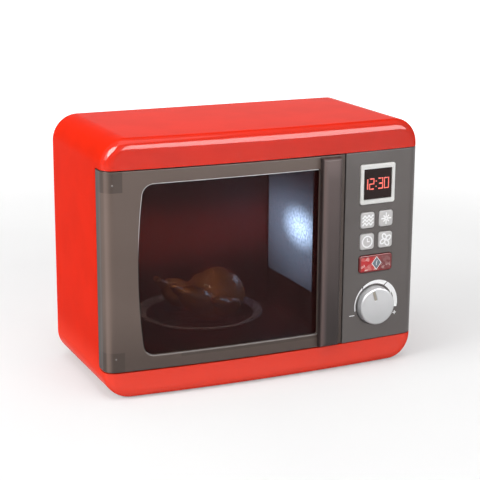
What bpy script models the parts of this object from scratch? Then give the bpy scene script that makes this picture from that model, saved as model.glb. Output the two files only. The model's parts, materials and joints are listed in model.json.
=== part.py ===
"""Toy microwave oven: a red case with a bowed front, a hinged door with a smoked
pane, a control panel with sprung buttons and a timer knob, and a plate that a
small gear train turns.

Lengths are in metres and +Z is up. The oven stands on Z = 0 and faces -Y, with
the middle of its whole box, handle included, on X = Y = 0.
"""

import math

import bmesh
import bpy
from mathutils import Matrix, Vector

MM = 0.001
TURN = 2 * math.pi

# Gaps, overruns and fineness
FIT_GAP = 0.3 * MM
CUT_OVERRUN = 5 * MM
WELD_DISTANCE = 0.001 * MM
FRONT_COLUMNS = 12
CORNER_SEGMENTS = 6
EDGE_SEGMENTS = 4
SMALL_SEGMENTS = 3
ROUND_SIDES = 16
FINE_SIDES = 36
SMOOTH_ANGLE = math.radians(35)
FLAT_ANGLE = math.radians(0.05)

# Case
CASE_WIDTH = 290 * MM
CASE_DEPTH = 141 * MM
CASE_HEIGHT = 218.5 * MM
CASE_WALL = 2.5 * MM
CASE_CORNER_RADIUS = 22.5 * MM
FRONT_EDGE_RADIUS = 9 * MM
FRONT_BOW = 6.5 * MM
TOP_BAND_HEIGHT = 24.8 * MM
BOTTOM_BAND_HEIGHT = 23.6 * MM
SIDE_SETBACK = 25.8 * MM
SIDE_NOTCH_RADIUS = 5 * MM
SIDE_LIP = 1.3 * MM
BULKHEAD_SETBACK = 27 * MM
PANEL_OPENING_MARGIN = 8 * MM
PANEL_OPENING_SIDE_MARGIN = 6 * MM
COVER_BOSS_RADIUS = 6 * MM
COVER_BOSS_LENGTH = 24 * MM
COVER_BOSS_BITE = 1 * MM

# Screws that hold the rear cover, the handle and the battery door
SCREW_SHANK_RADIUS = 1.4 * MM
SCREW_HEAD_RADIUS = 2.7 * MM
SCREW_HEAD_HEIGHT = 1.6 * MM
SCREW_LENGTH = 9 * MM
SCREW_SIDES = 12

# Rear cover with its slots for the sound
COVER_THICKNESS = 3 * MM
SLOT_COUNT = 5
SLOT_WIDTH = 3 * MM
SLOT_LENGTH = 26 * MM
SLOT_PITCH = 6 * MM
SPEAKER_HEIGHT = 152 * MM
SPEAKER_RADIUS = 19 * MM
SPEAKER_RIM_THICKNESS = 2 * MM
SPEAKER_DEPTH = 11 * MM
SPEAKER_MAGNET_RADIUS = 9 * MM
SPEAKER_MAGNET_DEPTH = 4.5 * MM
SPEAKER_COLLAR_WALL = 1.6 * MM
SPEAKER_COLLAR_DEPTH = 5 * MM

# Cavity
CAVITY_SIDE_MARGIN = 17 * MM
CAVITY_SEAM_MARGIN = 10 * MM
CAVITY_SILL = 4.4 * MM
CAVITY_LINTEL = 3.7 * MM
CAVITY_CORNER_RADIUS = 8 * MM
CAVITY_BACK_SPACE = 2 * MM
LINER_WALL = 2 * MM

# Light behind the cavity's right wall
DIFFUSER_MARGIN = 20 * MM
DIFFUSER_SILL = 38 * MM
DIFFUSER_LINTEL = 12 * MM
DIFFUSER_THICKNESS = 1.5 * MM
DIFFUSER_LAP = 3 * MM
LAMP_HEIGHT = 109 * MM
LAMP_OFFSET = 4 * MM
LAMP_HOLDER_SIZE = 30 * MM
LAMP_HOLDER_DEPTH = 16 * MM
LAMP_HOLDER_WALL = 1.5 * MM
LED_RADIUS = 2.5 * MM
LED_LENGTH = 6.5 * MM
LED_FLANGE_RADIUS = 3 * MM
LED_FLANGE_HEIGHT = 1 * MM

# Door
PANEL_WIDTH = 75 * MM
SHUT_GAP = 0.9 * MM
SKIN_WALL = 2.5 * MM
DOOR_FLANGE_WALL = 2.2 * MM
DOOR_REAR_SETBACK = 24.9 * MM
HINGE_INSET = 4.7 * MM
HINGE_SETBACK = 14 * MM
HINGE_PIN_RADIUS = 1.5 * MM
HINGE_PIN_LENGTH = 18 * MM
HINGE_PIN_TAIL = 1.5 * MM
HINGE_GAP = 0.3 * MM
KNUCKLE_WIDTH = 16 * MM
KNUCKLE_HEIGHT = 19 * MM

# Window opening in the door, and the pane behind it
WINDOW_SIDE_MARGIN = 28.4 * MM
WINDOW_SEAM_MARGIN = 24.5 * MM
WINDOW_TOP_MARGIN = 12.1 * MM
WINDOW_BOTTOM_MARGIN = 13 * MM
WINDOW_CORNER_RADIUS = 10 * MM
WINDOW_SMALL_RADIUS = 2 * MM
WINDOW_SIDE_BULGE = 4.8 * MM
WINDOW_TOP_FALL = 0.6 * MM
WINDOW_EDGE_POINTS = 4
PANE_LAP = 3 * MM
PANE_THICKNESS = 2 * MM
LINER_SETBACK = 15 * MM
LINER_PLATE = 2.5 * MM
TUNNEL_WALL = 2 * MM
TUNNEL_INSET = 1 * MM

# Handle
HANDLE_WIDTH = 18.5 * MM
HANDLE_REACH = 6.2 * MM
HANDLE_END_GAP = 1.2 * MM
HANDLE_EDGE_RADIUS = 3.5 * MM
HANDLE_SCREW_INSET = 26 * MM
HANDLE_SCREW_LENGTH = 6 * MM

# Catch on the door and the switch that it reaches
CATCH_WIDTH = 2 * MM
CATCH_HEIGHT = 10 * MM
CATCH_REACH = 9 * MM
CATCH_BASE_THICKNESS = 2 * MM
CATCH_BASE_WIDTH = 8 * MM
CATCH_BASE_HEIGHT = 18 * MM
CATCH_OFFSET = 3.2 * MM
CATCH_SLOT_SIDE_GAP = 2.2 * MM
CATCH_SLOT_END_GAP = 1.5 * MM
DOOR_SWITCH_WIDTH = 6 * MM
DOOR_SWITCH_DEPTH = 6.5 * MM
DOOR_SWITCH_HEIGHT = 13 * MM

# Control panel: what its pieces leave free of its height is shared out between them
PANEL_GAP = 0.5 * MM
CONTROL_INSET = 42.5 * MM
DISPLAY_TOP_SHARE = 0.198
BUTTON_TOP_SHARE = 0.127
BUTTON_ROW_SHARE = 0.089
START_TOP_SHARE = 0.098
KNOB_TOP_SHARE = 0.233
BUTTON_COLUMN_PITCH = 18.8 * MM
PROUD = 1.2 * MM
BEZEL_SIZE = 35 * MM
BEZEL_CORNER_RADIUS = 2 * MM
BEZEL_DEPTH = 5 * MM
SCREEN_WIDTH = 28.7 * MM
SCREEN_HEIGHT = 26.9 * MM
SCREEN_RECESS = 0.8 * MM
SCREEN_THICKNESS = 2 * MM
DISPLAY_MODULE_LAP = 2 * MM
BUTTON_SIZE = 14.1 * MM
BUTTON_CORNER_RADIUS = 2.5 * MM
BUTTON_FLANGE_LAP = 0.7 * MM
BUTTON_FLANGE = 1.2 * MM
BUTTON_TRAVEL = 1.5 * MM
BUTTON_STEM_RADIUS = 2.5 * MM
START_WIDTH = 33.7 * MM
START_SIZE = 15.4 * MM

# Timer knob, its seat in the panel and its shaft
KNOB_RADIUS = 17.3 * MM
KNOB_FACE_RADIUS = 16.6 * MM
KNOB_REACH = 4 * MM
KNOB_EDGE_RADIUS = 1.2 * MM
KNOB_SEAT_CLEARANCE = 1 * MM
KNOB_SEAT_FLOOR = 4.7 * MM
KNOB_SEAT_WALL = 2.2 * MM
KNOB_SEAT_RIM = 2 * MM
POINTER_WIDTH = 3.4 * MM
POINTER_LENGTH = 9.4 * MM
POINTER_DEPTH = 0.8 * MM
POINTER_OFFSET = 10 * MM
POINTER_TILT = math.radians(17)
SHAFT_RADIUS = 3 * MM
SHAFT_SOCKET_DEPTH = 5 * MM
TIMER_BODY_RADIUS = 8 * MM
TIMER_BODY_DEPTH = 6 * MM

# Control board and what it carries
BOARD_SETBACK = 18 * MM
BOARD_THICKNESS = 1.6 * MM
BOARD_WIDTH = 56 * MM
BOARD_LOWER_MARGIN = 16 * MM
BOARD_UPPER_MARGIN = 10 * MM
BOARD_POST_RADIUS = 2.5 * MM
BOARD_POST_INSET = 4 * MM
SWITCH_SIZE = 6 * MM
SWITCH_DEPTH = 3.5 * MM
SWITCH_PLUNGER_RADIUS = 1.6 * MM
SWITCH_PLUNGER_DEPTH = 1.3 * MM
START_LED_OFFSET = 9 * MM

# Batteries and their box
CELL_COUNT = 3
CELL_RADIUS = 7.2 * MM
CELL_LENGTH = 49.5 * MM
CELL_NUB_RADIUS = 2.7 * MM
CELL_NUB_LENGTH = 1 * MM
CELL_PITCH = 15.2 * MM
BATTERY_INSET = 42 * MM
BATTERY_CENTRE_HEIGHT = 62 * MM
BOX_WALL = 1.5 * MM
BOX_LEDGE = 1 * MM
CONTACT_THICKNESS = 0.6 * MM
CONTACT_DEPTH = 11 * MM
BATTERY_TAB = 11 * MM
BATTERY_DOOR_THICKNESS = 2 * MM
BATTERY_SCREW_LENGTH = 4 * MM

# Plate, spindle and gear train under the cavity floor
PLATE_RADIUS = 56.5 * MM
PLATE_BACK_GAP = 2.5 * MM
PLATE_BASE_RADIUS = 36 * MM
PLATE_WELL_RADIUS = 48 * MM
PLATE_THICKNESS = 2 * MM
PLATE_RIM_RISE = 13 * MM
PLATE_CLEARANCE = 5 * MM
PLATE_HUB_RADIUS = 11 * MM
COUPLER_RADIUS = 7 * MM
COUPLER_HEIGHT = 4 * MM
COUPLER_SIDES = 6
SPINDLE_RADIUS = 2.5 * MM
SPINDLE_FLANGE_RADIUS = 9 * MM
SPINDLE_FLANGE_HEIGHT = 1.5 * MM
TOOTH_SIZE = 1 * MM
OUTPUT_TEETH = 40
IDLER_LARGE_TEETH = 32
IDLER_SMALL_TEETH = 8
PINION_TEETH = 8
GEAR_THICKNESS = 3 * MM
GEAR_TIP_SHARE = 0.85
GEAR_ROOT_SHARE = 1.2
TOOTH_ROOT_SHARE = 0.3
TOOTH_TIP_SHARE = 0.1
OUTPUT_HUB_RADIUS = 6 * MM
OUTPUT_HUB_HEIGHT = 2 * MM
GEARBOX_PLATE = 2 * MM
GEARBOX_MARGIN = 10 * MM
GEARBOX_BOSS_RADIUS = 5 * MM
GEARBOX_BOSS_HEIGHT = 3 * MM
GEAR_LIFT = 6.5 * MM
AXLE_RADIUS = 1.5 * MM
MOTOR_RADIUS = 12.2 * MM
MOTOR_HEIGHT = 10.5 * MM
MOTOR_NOSE_RADIUS = 3 * MM
MOTOR_NOSE_HEIGHT = 1 * MM
MOTOR_SHAFT_RADIUS = 1 * MM
MOTOR_CRADLE_WALL = 1.5 * MM
MOTOR_CRADLE_HEIGHT = 5 * MM

# Pretend roast chicken, whose legs point along its own +X
CHICKEN_TURN = math.radians(192)
CHICKEN_SIDES = 12
BODY_LENGTH = 58 * MM
BODY_WIDTH = 52 * MM
BODY_HEIGHT = 51 * MM
BODY_FLAT = 2.5 * MM
BODY_OFFSET = 16 * MM
THIGH_LENGTH = 46 * MM
THIGH_WIDTH = 22 * MM
THIGH_HEIGHT = 25 * MM
THIGH_REACH = 11 * MM
THIGH_SPREAD = 15 * MM
THIGH_RISE = 25 * MM
THIGH_TILT = math.radians(32)
BONE_LENGTH = 16 * MM
BONE_WIDTH = 9 * MM
BONE_INSET = 1.5 * MM
BONE_TILT = math.radians(41)
WING_LENGTH = 30 * MM
WING_WIDTH = 12 * MM
WING_HEIGHT = 17 * MM
WING_OFFSET = 13 * MM
WING_SPREAD = 24 * MM
WING_RISE = 18 * MM

# Frame: the whole depth runs from the handle's face to the case's back
OVERALL_DEPTH = CASE_DEPTH + HANDLE_REACH
BACK_Y = OVERALL_DEPTH / 2
FRONT_Y = BACK_Y - CASE_DEPTH
HANDLE_FACE_Y = FRONT_Y - HANDLE_REACH
SIDE_X = CASE_WIDTH / 2
SEAM_X = SIDE_X - PANEL_WIDTH
RECESS_TOP = CASE_HEIGHT - TOP_BAND_HEIGHT
RECESS_BOTTOM = BOTTOM_BAND_HEIGHT
BULKHEAD_FRONT = FRONT_Y + BULKHEAD_SETBACK
BULKHEAD_BACK = BULKHEAD_FRONT + CASE_WALL
SIDE_EDGE_Y = FRONT_Y + SIDE_SETBACK
COVER_INNER_Y = BACK_Y - COVER_THICKNESS
BOSS_END_Y = COVER_INNER_Y - FIT_GAP

# Cavity, measured inside the liner
CAVITY_LEFT = -SIDE_X + CAVITY_SIDE_MARGIN
CAVITY_RIGHT = SEAM_X - CAVITY_SEAM_MARGIN
CAVITY_FLOOR = RECESS_BOTTOM + CAVITY_SILL
CAVITY_CEILING = RECESS_TOP - CAVITY_LINTEL
CAVITY_BACK = COVER_INNER_Y - CAVITY_BACK_SPACE - LINER_WALL
LINER_FRONT = BULKHEAD_BACK + FIT_GAP
LINER_RIGHT = CAVITY_RIGHT + LINER_WALL
LINER_UNDERSIDE = CAVITY_FLOOR - LINER_WALL

# Door box
DOOR_RIGHT = SEAM_X - SHUT_GAP / 2
DOOR_BOTTOM = RECESS_BOTTOM + SHUT_GAP
DOOR_TOP = RECESS_TOP - SHUT_GAP
DOOR_REAR = FRONT_Y + DOOR_REAR_SETBACK
DOOR_LINER_REAR = FRONT_Y + LINER_SETBACK
DOOR_LINER_FRONT = DOOR_LINER_REAR - LINER_PLATE
HINGE_X = -SIDE_X + HINGE_INSET
HINGE_Y = FRONT_Y + HINGE_SETBACK
WINDOW_LEFT = -SIDE_X + WINDOW_SIDE_MARGIN
WINDOW_RIGHT = SEAM_X - WINDOW_SEAM_MARGIN
WINDOW_TOP = RECESS_TOP - WINDOW_TOP_MARGIN
WINDOW_BOTTOM = RECESS_BOTTOM + WINDOW_BOTTOM_MARGIN
PANE_FRONT_INSET = SKIN_WALL + FIT_GAP
TUNNEL_FRONT_INSET = PANE_FRONT_INSET + PANE_THICKNESS + FIT_GAP
HANDLE_LEFT = WINDOW_RIGHT
HANDLE_RIGHT = WINDOW_RIGHT + HANDLE_WIDTH
HANDLE_X = (HANDLE_LEFT + HANDLE_RIGHT) / 2
CATCH_LEFT = CAVITY_RIGHT + CATCH_OFFSET
CATCH_Z = (DOOR_BOTTOM + DOOR_TOP) / 2
CATCH_TIP = DOOR_REAR + CATCH_REACH

# Control panel box
CONTROL_X = SIDE_X - CONTROL_INSET
PANEL_LEFT = SEAM_X + SHUT_GAP / 2
PANEL_BOTTOM = RECESS_BOTTOM + PANEL_GAP
PANEL_TOP = RECESS_TOP - PANEL_GAP
PANEL_REAR = SIDE_EDGE_Y - FIT_GAP
PANEL_SPARE = PANEL_TOP - PANEL_BOTTOM - BEZEL_SIZE - 2 * BUTTON_SIZE - START_SIZE - 2 * KNOB_RADIUS
DISPLAY_Z = PANEL_TOP - DISPLAY_TOP_SHARE * PANEL_SPARE - BEZEL_SIZE / 2
UPPER_BUTTON_Z = DISPLAY_Z - BEZEL_SIZE / 2 - BUTTON_TOP_SHARE * PANEL_SPARE - BUTTON_SIZE / 2
LOWER_BUTTON_Z = UPPER_BUTTON_Z - BUTTON_SIZE - BUTTON_ROW_SHARE * PANEL_SPARE
START_Z = LOWER_BUTTON_Z - BUTTON_SIZE / 2 - START_TOP_SHARE * PANEL_SPARE - START_SIZE / 2
KNOB_Z = START_Z - START_SIZE / 2 - KNOB_TOP_SHARE * PANEL_SPARE - KNOB_RADIUS
BOARD_FRONT = FRONT_Y + BOARD_SETBACK
BOARD_BACK = BOARD_FRONT + BOARD_THICKNESS
BOARD_LEFT = CONTROL_X - BOARD_WIDTH / 2
BOARD_RIGHT = CONTROL_X + BOARD_WIDTH / 2
BOARD_BOTTOM = PANEL_BOTTOM + BOARD_LOWER_MARGIN
BOARD_TOP = PANEL_TOP - BOARD_UPPER_MARGIN
SWITCH_FRONT = BOARD_FRONT - FIT_GAP - SWITCH_DEPTH - SWITCH_PLUNGER_DEPTH
STEM_END = SWITCH_FRONT - BUTTON_TRAVEL - FIT_GAP
SEAT_FLOOR_Y = FRONT_Y + KNOB_SEAT_FLOOR
KNOB_BACK = SEAT_FLOOR_Y - FIT_GAP
KNOB_FACE = FRONT_Y - KNOB_REACH

# Battery box, open towards the rear cover
BATTERY_X = SIDE_X - BATTERY_INSET
CELL_SPAN = CELL_COUNT * CELL_PITCH
BOX_HALF_WIDTH = CELL_SPAN / 2
BOX_HALF_HEIGHT = (CELL_LENGTH + CELL_NUB_LENGTH) / 2 + CONTACT_THICKNESS + 2 * FIT_GAP
BOX_REAR = COVER_INNER_Y - FIT_GAP
BOX_FLOOR_Y = BOX_REAR - 2 * CELL_RADIUS - FIT_GAP
CELL_Y = BOX_FLOOR_Y + FIT_GAP + CELL_RADIUS
COVER_LEDGE_Y = BOX_REAR + FIT_GAP

# Turntable axis and the heights in the gear train
PLATE_X = (CAVITY_LEFT + CAVITY_RIGHT) / 2
PLATE_Y = CAVITY_BACK - PLATE_BACK_GAP - PLATE_RADIUS
GEARBOX_FLOOR = CASE_WALL + FIT_GAP
GEARBOX_TOP = GEARBOX_FLOOR + GEARBOX_PLATE
OUTPUT_Z = GEARBOX_TOP + GEAR_LIFT
IDLER_X = PLATE_X + (OUTPUT_TEETH + IDLER_SMALL_TEETH) * TOOTH_SIZE / 2
MOTOR_X = IDLER_X + (IDLER_LARGE_TEETH + PINION_TEETH) * TOOTH_SIZE / 2
MOTOR_FLOOR = GEARBOX_TOP + FIT_GAP
MOTOR_TOP = MOTOR_FLOOR + MOTOR_HEIGHT + MOTOR_NOSE_HEIGHT
LARGE_WHEEL_Z = max(OUTPUT_Z + GEAR_THICKNESS, MOTOR_TOP) + 2 * FIT_GAP
PLATE_FLANGE_Z = CAVITY_FLOOR + FIT_GAP
PLATE_UNDERSIDE = CAVITY_FLOOR + PLATE_CLEARANCE
PLATE_TOP = PLATE_UNDERSIDE + PLATE_THICKNESS

RED = (0.78, 0.035, 0.015)
GREY = (0.13, 0.115, 0.1)
PANEL_GREY = (0.12, 0.11, 0.1)
HANDLE_GREY = (0.09, 0.07, 0.065)
SMOKE = (0.02, 0.008, 0.008)
WHITE = (0.85, 0.84, 0.83)
SILVER = (0.48, 0.48, 0.49)
BUTTON_GREY = (0.56, 0.56, 0.56)
CLEAR_RED = (0.75, 0.03, 0.03)
BLACK = (0.012, 0.012, 0.012)
STEEL = (0.6, 0.6, 0.62)
BOARD_GREEN = (0.02, 0.2, 0.07)
CREAM = (0.8, 0.78, 0.7)
BROWN = (0.3, 0.11, 0.03)
BLUE_WHITE = (0.75, 0.85, 1.0)

PARTS = bpy.data.collections.new("toy_microwave")
CUTTERS = bpy.data.collections.new("toy_microwave_cutters")


def clear_scene():
    """Removes what the file held and adds the two collections."""
    for obj in list(bpy.data.objects):
        bpy.data.objects.remove(obj, do_unlink=True)
    bpy.context.scene.collection.children.link(PARTS)
    bpy.context.scene.collection.children.link(CUTTERS)


def bow(x):
    """How far the bowed front lies behind its middle at a place along X."""
    return FRONT_BOW * (x / SIDE_X) ** 2


def front_y(x, inset=0):
    """Y of the front surface in plan, drawn in by an even inset."""
    radius = FRONT_EDGE_RADIUS - inset
    reach = min(max(abs(x) - (SIDE_X - FRONT_EDGE_RADIUS), 0), radius)
    return FRONT_Y + inset + radius - math.sqrt(radius**2 - reach**2) + bow(x)


def even_steps(low, high, count):
    """Count + 1 even values from low to high."""
    return [low + (high - low) * step / count for step in range(count + 1)]


def wrapped_outline(side, seam, inset, rear):
    """Plan outline of a tray that wraps one front corner of the case.

    side is -1 for the left corner and 1 for the right one, seam the X where
    the tray ends, and rear the Y of its open back.
    """
    radius = FRONT_EDGE_RADIUS - inset
    arc_x = side * (SIDE_X - FRONT_EDGE_RADIUS)
    columns = even_steps(seam, arc_x, FRONT_COLUMNS // 2)
    turns = even_steps(0, TURN / 4, CORNER_SEGMENTS)[1:]
    columns += [arc_x + side * radius * math.sin(turn) for turn in turns]
    outline = [(x, front_y(x, inset)) for x in columns]
    return outline + [(columns[-1], rear), (seam, rear)]


def link_mesh(name, bm, collection=PARTS):
    """Object for a finished bmesh, with its faces pointing out."""
    bmesh.ops.recalc_face_normals(bm, faces=bm.faces)
    mesh = bpy.data.meshes.new(name)
    bm.to_mesh(mesh)
    bm.free()
    obj = bpy.data.objects.new(name, mesh)
    collection.objects.link(obj)
    return obj


def box_mesh(low, high):
    """A bmesh cube stretched between two corners."""
    low, high = Vector(low), Vector(high)
    bm = bmesh.new()
    bmesh.ops.create_cube(bm, size=1)
    stretch = Matrix.Diagonal((*(high - low), 1))
    bmesh.ops.transform(bm, matrix=Matrix.Translation((low + high) / 2) @ stretch, verts=bm.verts)
    return bm


def box(name, low, high, collection=PARTS):
    """A plain box between two corners."""
    return link_mesh(name, box_mesh(low, high), collection)


def round_edges(bm, chosen, radius, segments):
    """Rounds the edges that the test picks."""
    edges = [edge for edge in bm.edges if chosen(edge)]
    bmesh.ops.bevel(
        bm, geom=edges, offset=radius, segments=segments, profile=0.5, affect="EDGES", material=-1
    )


def runs_along(edge, axis):
    """Whether an edge is parallel to a world axis, given as 0, 1 or 2."""
    span = edge.verts[1].co - edge.verts[0].co
    return abs(span[axis]) > WELD_DISTANCE and abs(abs(span[axis]) - span.length) < WELD_DISTANCE


def is_lower_back(edge):
    """Whether an edge along X lies behind the hinge in the case's lower half."""
    middle = (edge.verts[0].co + edge.verts[1].co) / 2
    return runs_along(edge, 0) and middle.y > HINGE_Y and middle.z < CASE_HEIGHT / 2


def round_lower_back(obj, radius):
    """Rounds the lower back edge, where the case's side is cut away."""
    bm = bmesh.new()
    bm.from_mesh(obj.data)
    round_edges(bm, is_lower_back, radius, EDGE_SEGMENTS)
    bm.to_mesh(obj.data)
    bm.free()


def rounded_box(name, low, high, radius, collection=PARTS):
    """A box whose four edges along Y are rounded."""
    bm = box_mesh(low, high)
    round_edges(bm, lambda edge: runs_along(edge, 1), radius, SMALL_SEGMENTS)
    return link_mesh(name, bm, collection)


def add_columns(bm, count=FRONT_COLUMNS):
    """Cuts a mesh at even places along X, so that it can follow the bow."""
    xs = [vert.co.x for vert in bm.verts]
    for x in even_steps(min(xs), max(xs), count)[1:-1]:
        everything = bm.verts[:] + bm.edges[:] + bm.faces[:]
        bmesh.ops.bisect_plane(bm, geom=everything, plane_co=(x, 0, 0), plane_no=(1, 0, 0))


def follow_bow(obj, limit=None, columns=0):
    """Moves a mesh back by the bow, all of it or only what is ahead of a Y."""
    bm = bmesh.new()
    bm.from_mesh(obj.data)
    if columns:
        add_columns(bm, columns)
    for vert in bm.verts:
        if limit is None or vert.co.y < limit:
            vert.co.y += bow(vert.co.x)
    bm.to_mesh(obj.data)
    bm.free()
    return obj


def prism(name, outline, low, high, axis="Z", collection=PARTS):
    """A flat outline drawn out along one axis between two values.

    The outline is in X and Y for an extrusion along Z, and in X and Z along Y.
    """
    curve = bpy.data.curves.new(name, "CURVE")
    curve.dimensions = "2D"
    curve.fill_mode = "BOTH"
    curve.extrude = (high - low) / 2
    spline = curve.splines.new("POLY")
    spline.points.add(len(outline) - 1)
    for point, place in zip(spline.points, outline):
        point.co = (*place, 0, 1)
    spline.use_cyclic_u = True
    guide = bpy.data.objects.new(name + "_outline", curve)
    CUTTERS.objects.link(guide)
    evaluated = guide.evaluated_get(bpy.context.evaluated_depsgraph_get())
    mesh = bpy.data.meshes.new_from_object(evaluated)
    bm = bmesh.new()
    bm.from_mesh(mesh)
    bpy.data.objects.remove(guide, do_unlink=True)
    bmesh.ops.remove_doubles(bm, verts=bm.verts, dist=WELD_DISTANCE)
    bmesh.ops.dissolve_limit(bm, angle_limit=FLAT_ANGLE, verts=bm.verts, edges=bm.edges)
    turn = Matrix.Rotation(TURN / 4, 4, "X") if axis == "Y" else Matrix.Identity(4)
    middle = (low + high) / 2
    shift = Matrix.Translation((0, middle, 0) if axis == "Y" else (0, 0, middle))
    bmesh.ops.transform(bm, matrix=shift @ turn, verts=bm.verts)
    return link_mesh(name, bm, collection)


def rod(name, radius, start, end, sides=ROUND_SIDES, collection=PARTS):
    """A round bar from one point to another, along a world axis."""
    start, end = Vector(start), Vector(end)
    bm = bmesh.new()
    bmesh.ops.create_cone(
        bm,
        cap_ends=True,
        segments=sides,
        radius1=radius,
        radius2=radius,
        depth=(end - start).length,
    )
    turn = (end - start).to_track_quat("Z", "Y").to_matrix().to_4x4()
    bmesh.ops.transform(bm, matrix=Matrix.Translation((start + end) / 2) @ turn, verts=bm.verts)
    return link_mesh(name, bm, collection)


def turned(name, profile, base, direction, sides=ROUND_SIDES, collection=PARTS):
    """A turned piece: radius and height pairs, from the top down to the base.

    base is the point of zero height on the axis, and direction the way up.
    """
    mesh = bpy.data.meshes.new(name)
    points = [(radius, 0, height) for radius, height in profile]
    edges = [(index, index + 1) for index in range(len(points) - 1)]
    mesh.from_pydata(points, edges, [])
    obj = bpy.data.objects.new(name, mesh)
    collection.objects.link(obj)
    screw = obj.modifiers.new("Turn", "SCREW")
    screw.axis = "Z"
    screw.angle = TURN
    screw.steps = sides
    screw.render_steps = sides
    screw.use_merge_vertices = True
    screw.merge_threshold = WELD_DISTANCE
    screw.use_smooth_shade = False
    obj.location = base
    obj.rotation_mode = "QUATERNION"
    obj.rotation_quaternion = Vector(direction).to_track_quat("Z", "Y")
    return obj


def combine(target, operation, tools):
    """Adds one Boolean modifier for each tool, and puts the tools away."""
    for tool in tools:
        modifier = target.modifiers.new(tool.name, "BOOLEAN")
        modifier.operation = operation
        modifier.solver = "EXACT"
        modifier.object = tool
        for collection in list(tool.users_collection):
            collection.objects.unlink(tool)
        CUTTERS.objects.link(tool)
        tool.hide_render = True
        tool.display_type = "WIRE"
    return target


def cut(target, *tools):
    """Takes the tools away from the target."""
    return combine(target, "DIFFERENCE", tools)


def join(target, *tools):
    """Adds the tools to the target as one solid."""
    return combine(target, "UNION", tools)


def keep_common(target, *tools):
    """Keeps only what the target shares with each tool."""
    return combine(target, "INTERSECT", tools)


def gather(name, pieces):
    """One cutter made of several that stand apart."""
    bm = bmesh.new()
    for piece in pieces:
        bm.from_mesh(piece.data)
        bpy.data.objects.remove(piece, do_unlink=True)
    return link_mesh(name, bm, CUTTERS)


def material(name, colour, roughness, metallic=0.0):
    """A Principled material, made once for each name."""
    found = bpy.data.materials.get(name)
    if found:
        return found
    made = bpy.data.materials.new(name)
    made.use_nodes = True
    shader = made.node_tree.nodes["Principled BSDF"]
    shader.inputs["Base Color"].default_value = (*colour, 1)
    shader.inputs["Roughness"].default_value = roughness
    shader.inputs["Metallic"].default_value = metallic
    return made


def dress(obj, colour, roughness=0.35, metallic=0.0):
    """Gives a piece its own material and smooth shading on round faces."""
    obj.data.materials.clear()
    obj.data.materials.append(material(obj.name + "_finish", colour, roughness, metallic))
    obj.data.shade_smooth()
    obj.data.set_sharp_from_angle(angle=SMOOTH_ANGLE)
    return obj


def place_origin(obj, point):
    """Puts a piece's origin on a point without moving the piece."""
    point = Vector(point)
    obj.data.transform(Matrix.Translation(obj.location - point))
    obj.location = point
    return obj


def carry(name, point, pieces):
    """Parents the pieces of one moving body to an empty on its joint."""
    empty = bpy.data.objects.new(name, None)
    PARTS.objects.link(empty)
    empty.location = point
    for piece in pieces:
        piece.parent = empty
        piece.matrix_parent_inverse = Matrix.Translation(-Vector(point))
    return empty


def case_form(name, inset, rear, collection):
    """The case's rounded, bowed block, drawn in by an even inset."""
    half = SIDE_X - inset
    face = FRONT_Y + inset
    bm = box_mesh((-half, face, inset), (half, rear, CASE_HEIGHT - inset))
    radius = CASE_CORNER_RADIUS - inset
    round_edges(bm, lambda edge: runs_along(edge, 1), radius, CORNER_SEGMENTS)

    def on_face(edge):
        return all(abs(vert.co.y - face) < WELD_DISTANCE for vert in edge.verts)

    round_edges(bm, on_face, FRONT_EDGE_RADIUS - inset, EDGE_SEGMENTS)
    add_columns(bm)
    return follow_bow(link_mesh(name, bm, collection), rear - WELD_DISTANCE)


def cover_boss_places():
    """Centres in X and Z of the bosses in the four rear corners."""
    reach = CASE_CORNER_RADIUS - CASE_WALL - COVER_BOSS_RADIUS + COVER_BOSS_BITE
    step = CASE_CORNER_RADIUS - reach / math.sqrt(2)
    return [
        (side * (SIDE_X - step), z)
        for z in (step, CASE_HEIGHT - step)
        for side in (-1, 1)
    ]


def screw_profile(length):
    """Profile of a round-headed screw whose head stands on zero height."""
    return [
        (0, SCREW_HEAD_HEIGHT),
        (SCREW_HEAD_RADIUS / 2, SCREW_HEAD_HEIGHT),
        (SCREW_HEAD_RADIUS, SCREW_HEAD_HEIGHT / 2),
        (SCREW_HEAD_RADIUS, 0),
        (SCREW_SHANK_RADIUS, 0),
        (SCREW_SHANK_RADIUS, -length),
        (0, -length),
    ]


def screw_hole(name, x, z, start, end):
    """Cutter for a screw's shank along Y."""
    radius = SCREW_SHANK_RADIUS + FIT_GAP
    return rod(name, radius, (x, start, z), (x, end, z), SCREW_SIDES, CUTTERS)


def sunk_screw_hole(name, x, z, start, seat):
    """Cutter for a screw's shank along Y with the well for its head behind it."""
    hole, well = SCREW_SHANK_RADIUS + FIT_GAP, SCREW_HEAD_RADIUS + FIT_GAP
    mouth = BACK_Y + CUT_OVERRUN - start
    floor = seat - FIT_GAP - start
    profile = [(0, mouth), (well, mouth), (well, floor), (hole, floor), (hole, 0), (0, 0)]
    return turned(name, profile, (x, start, z), (0, 1, 0), SCREW_SIDES, CUTTERS)


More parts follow.
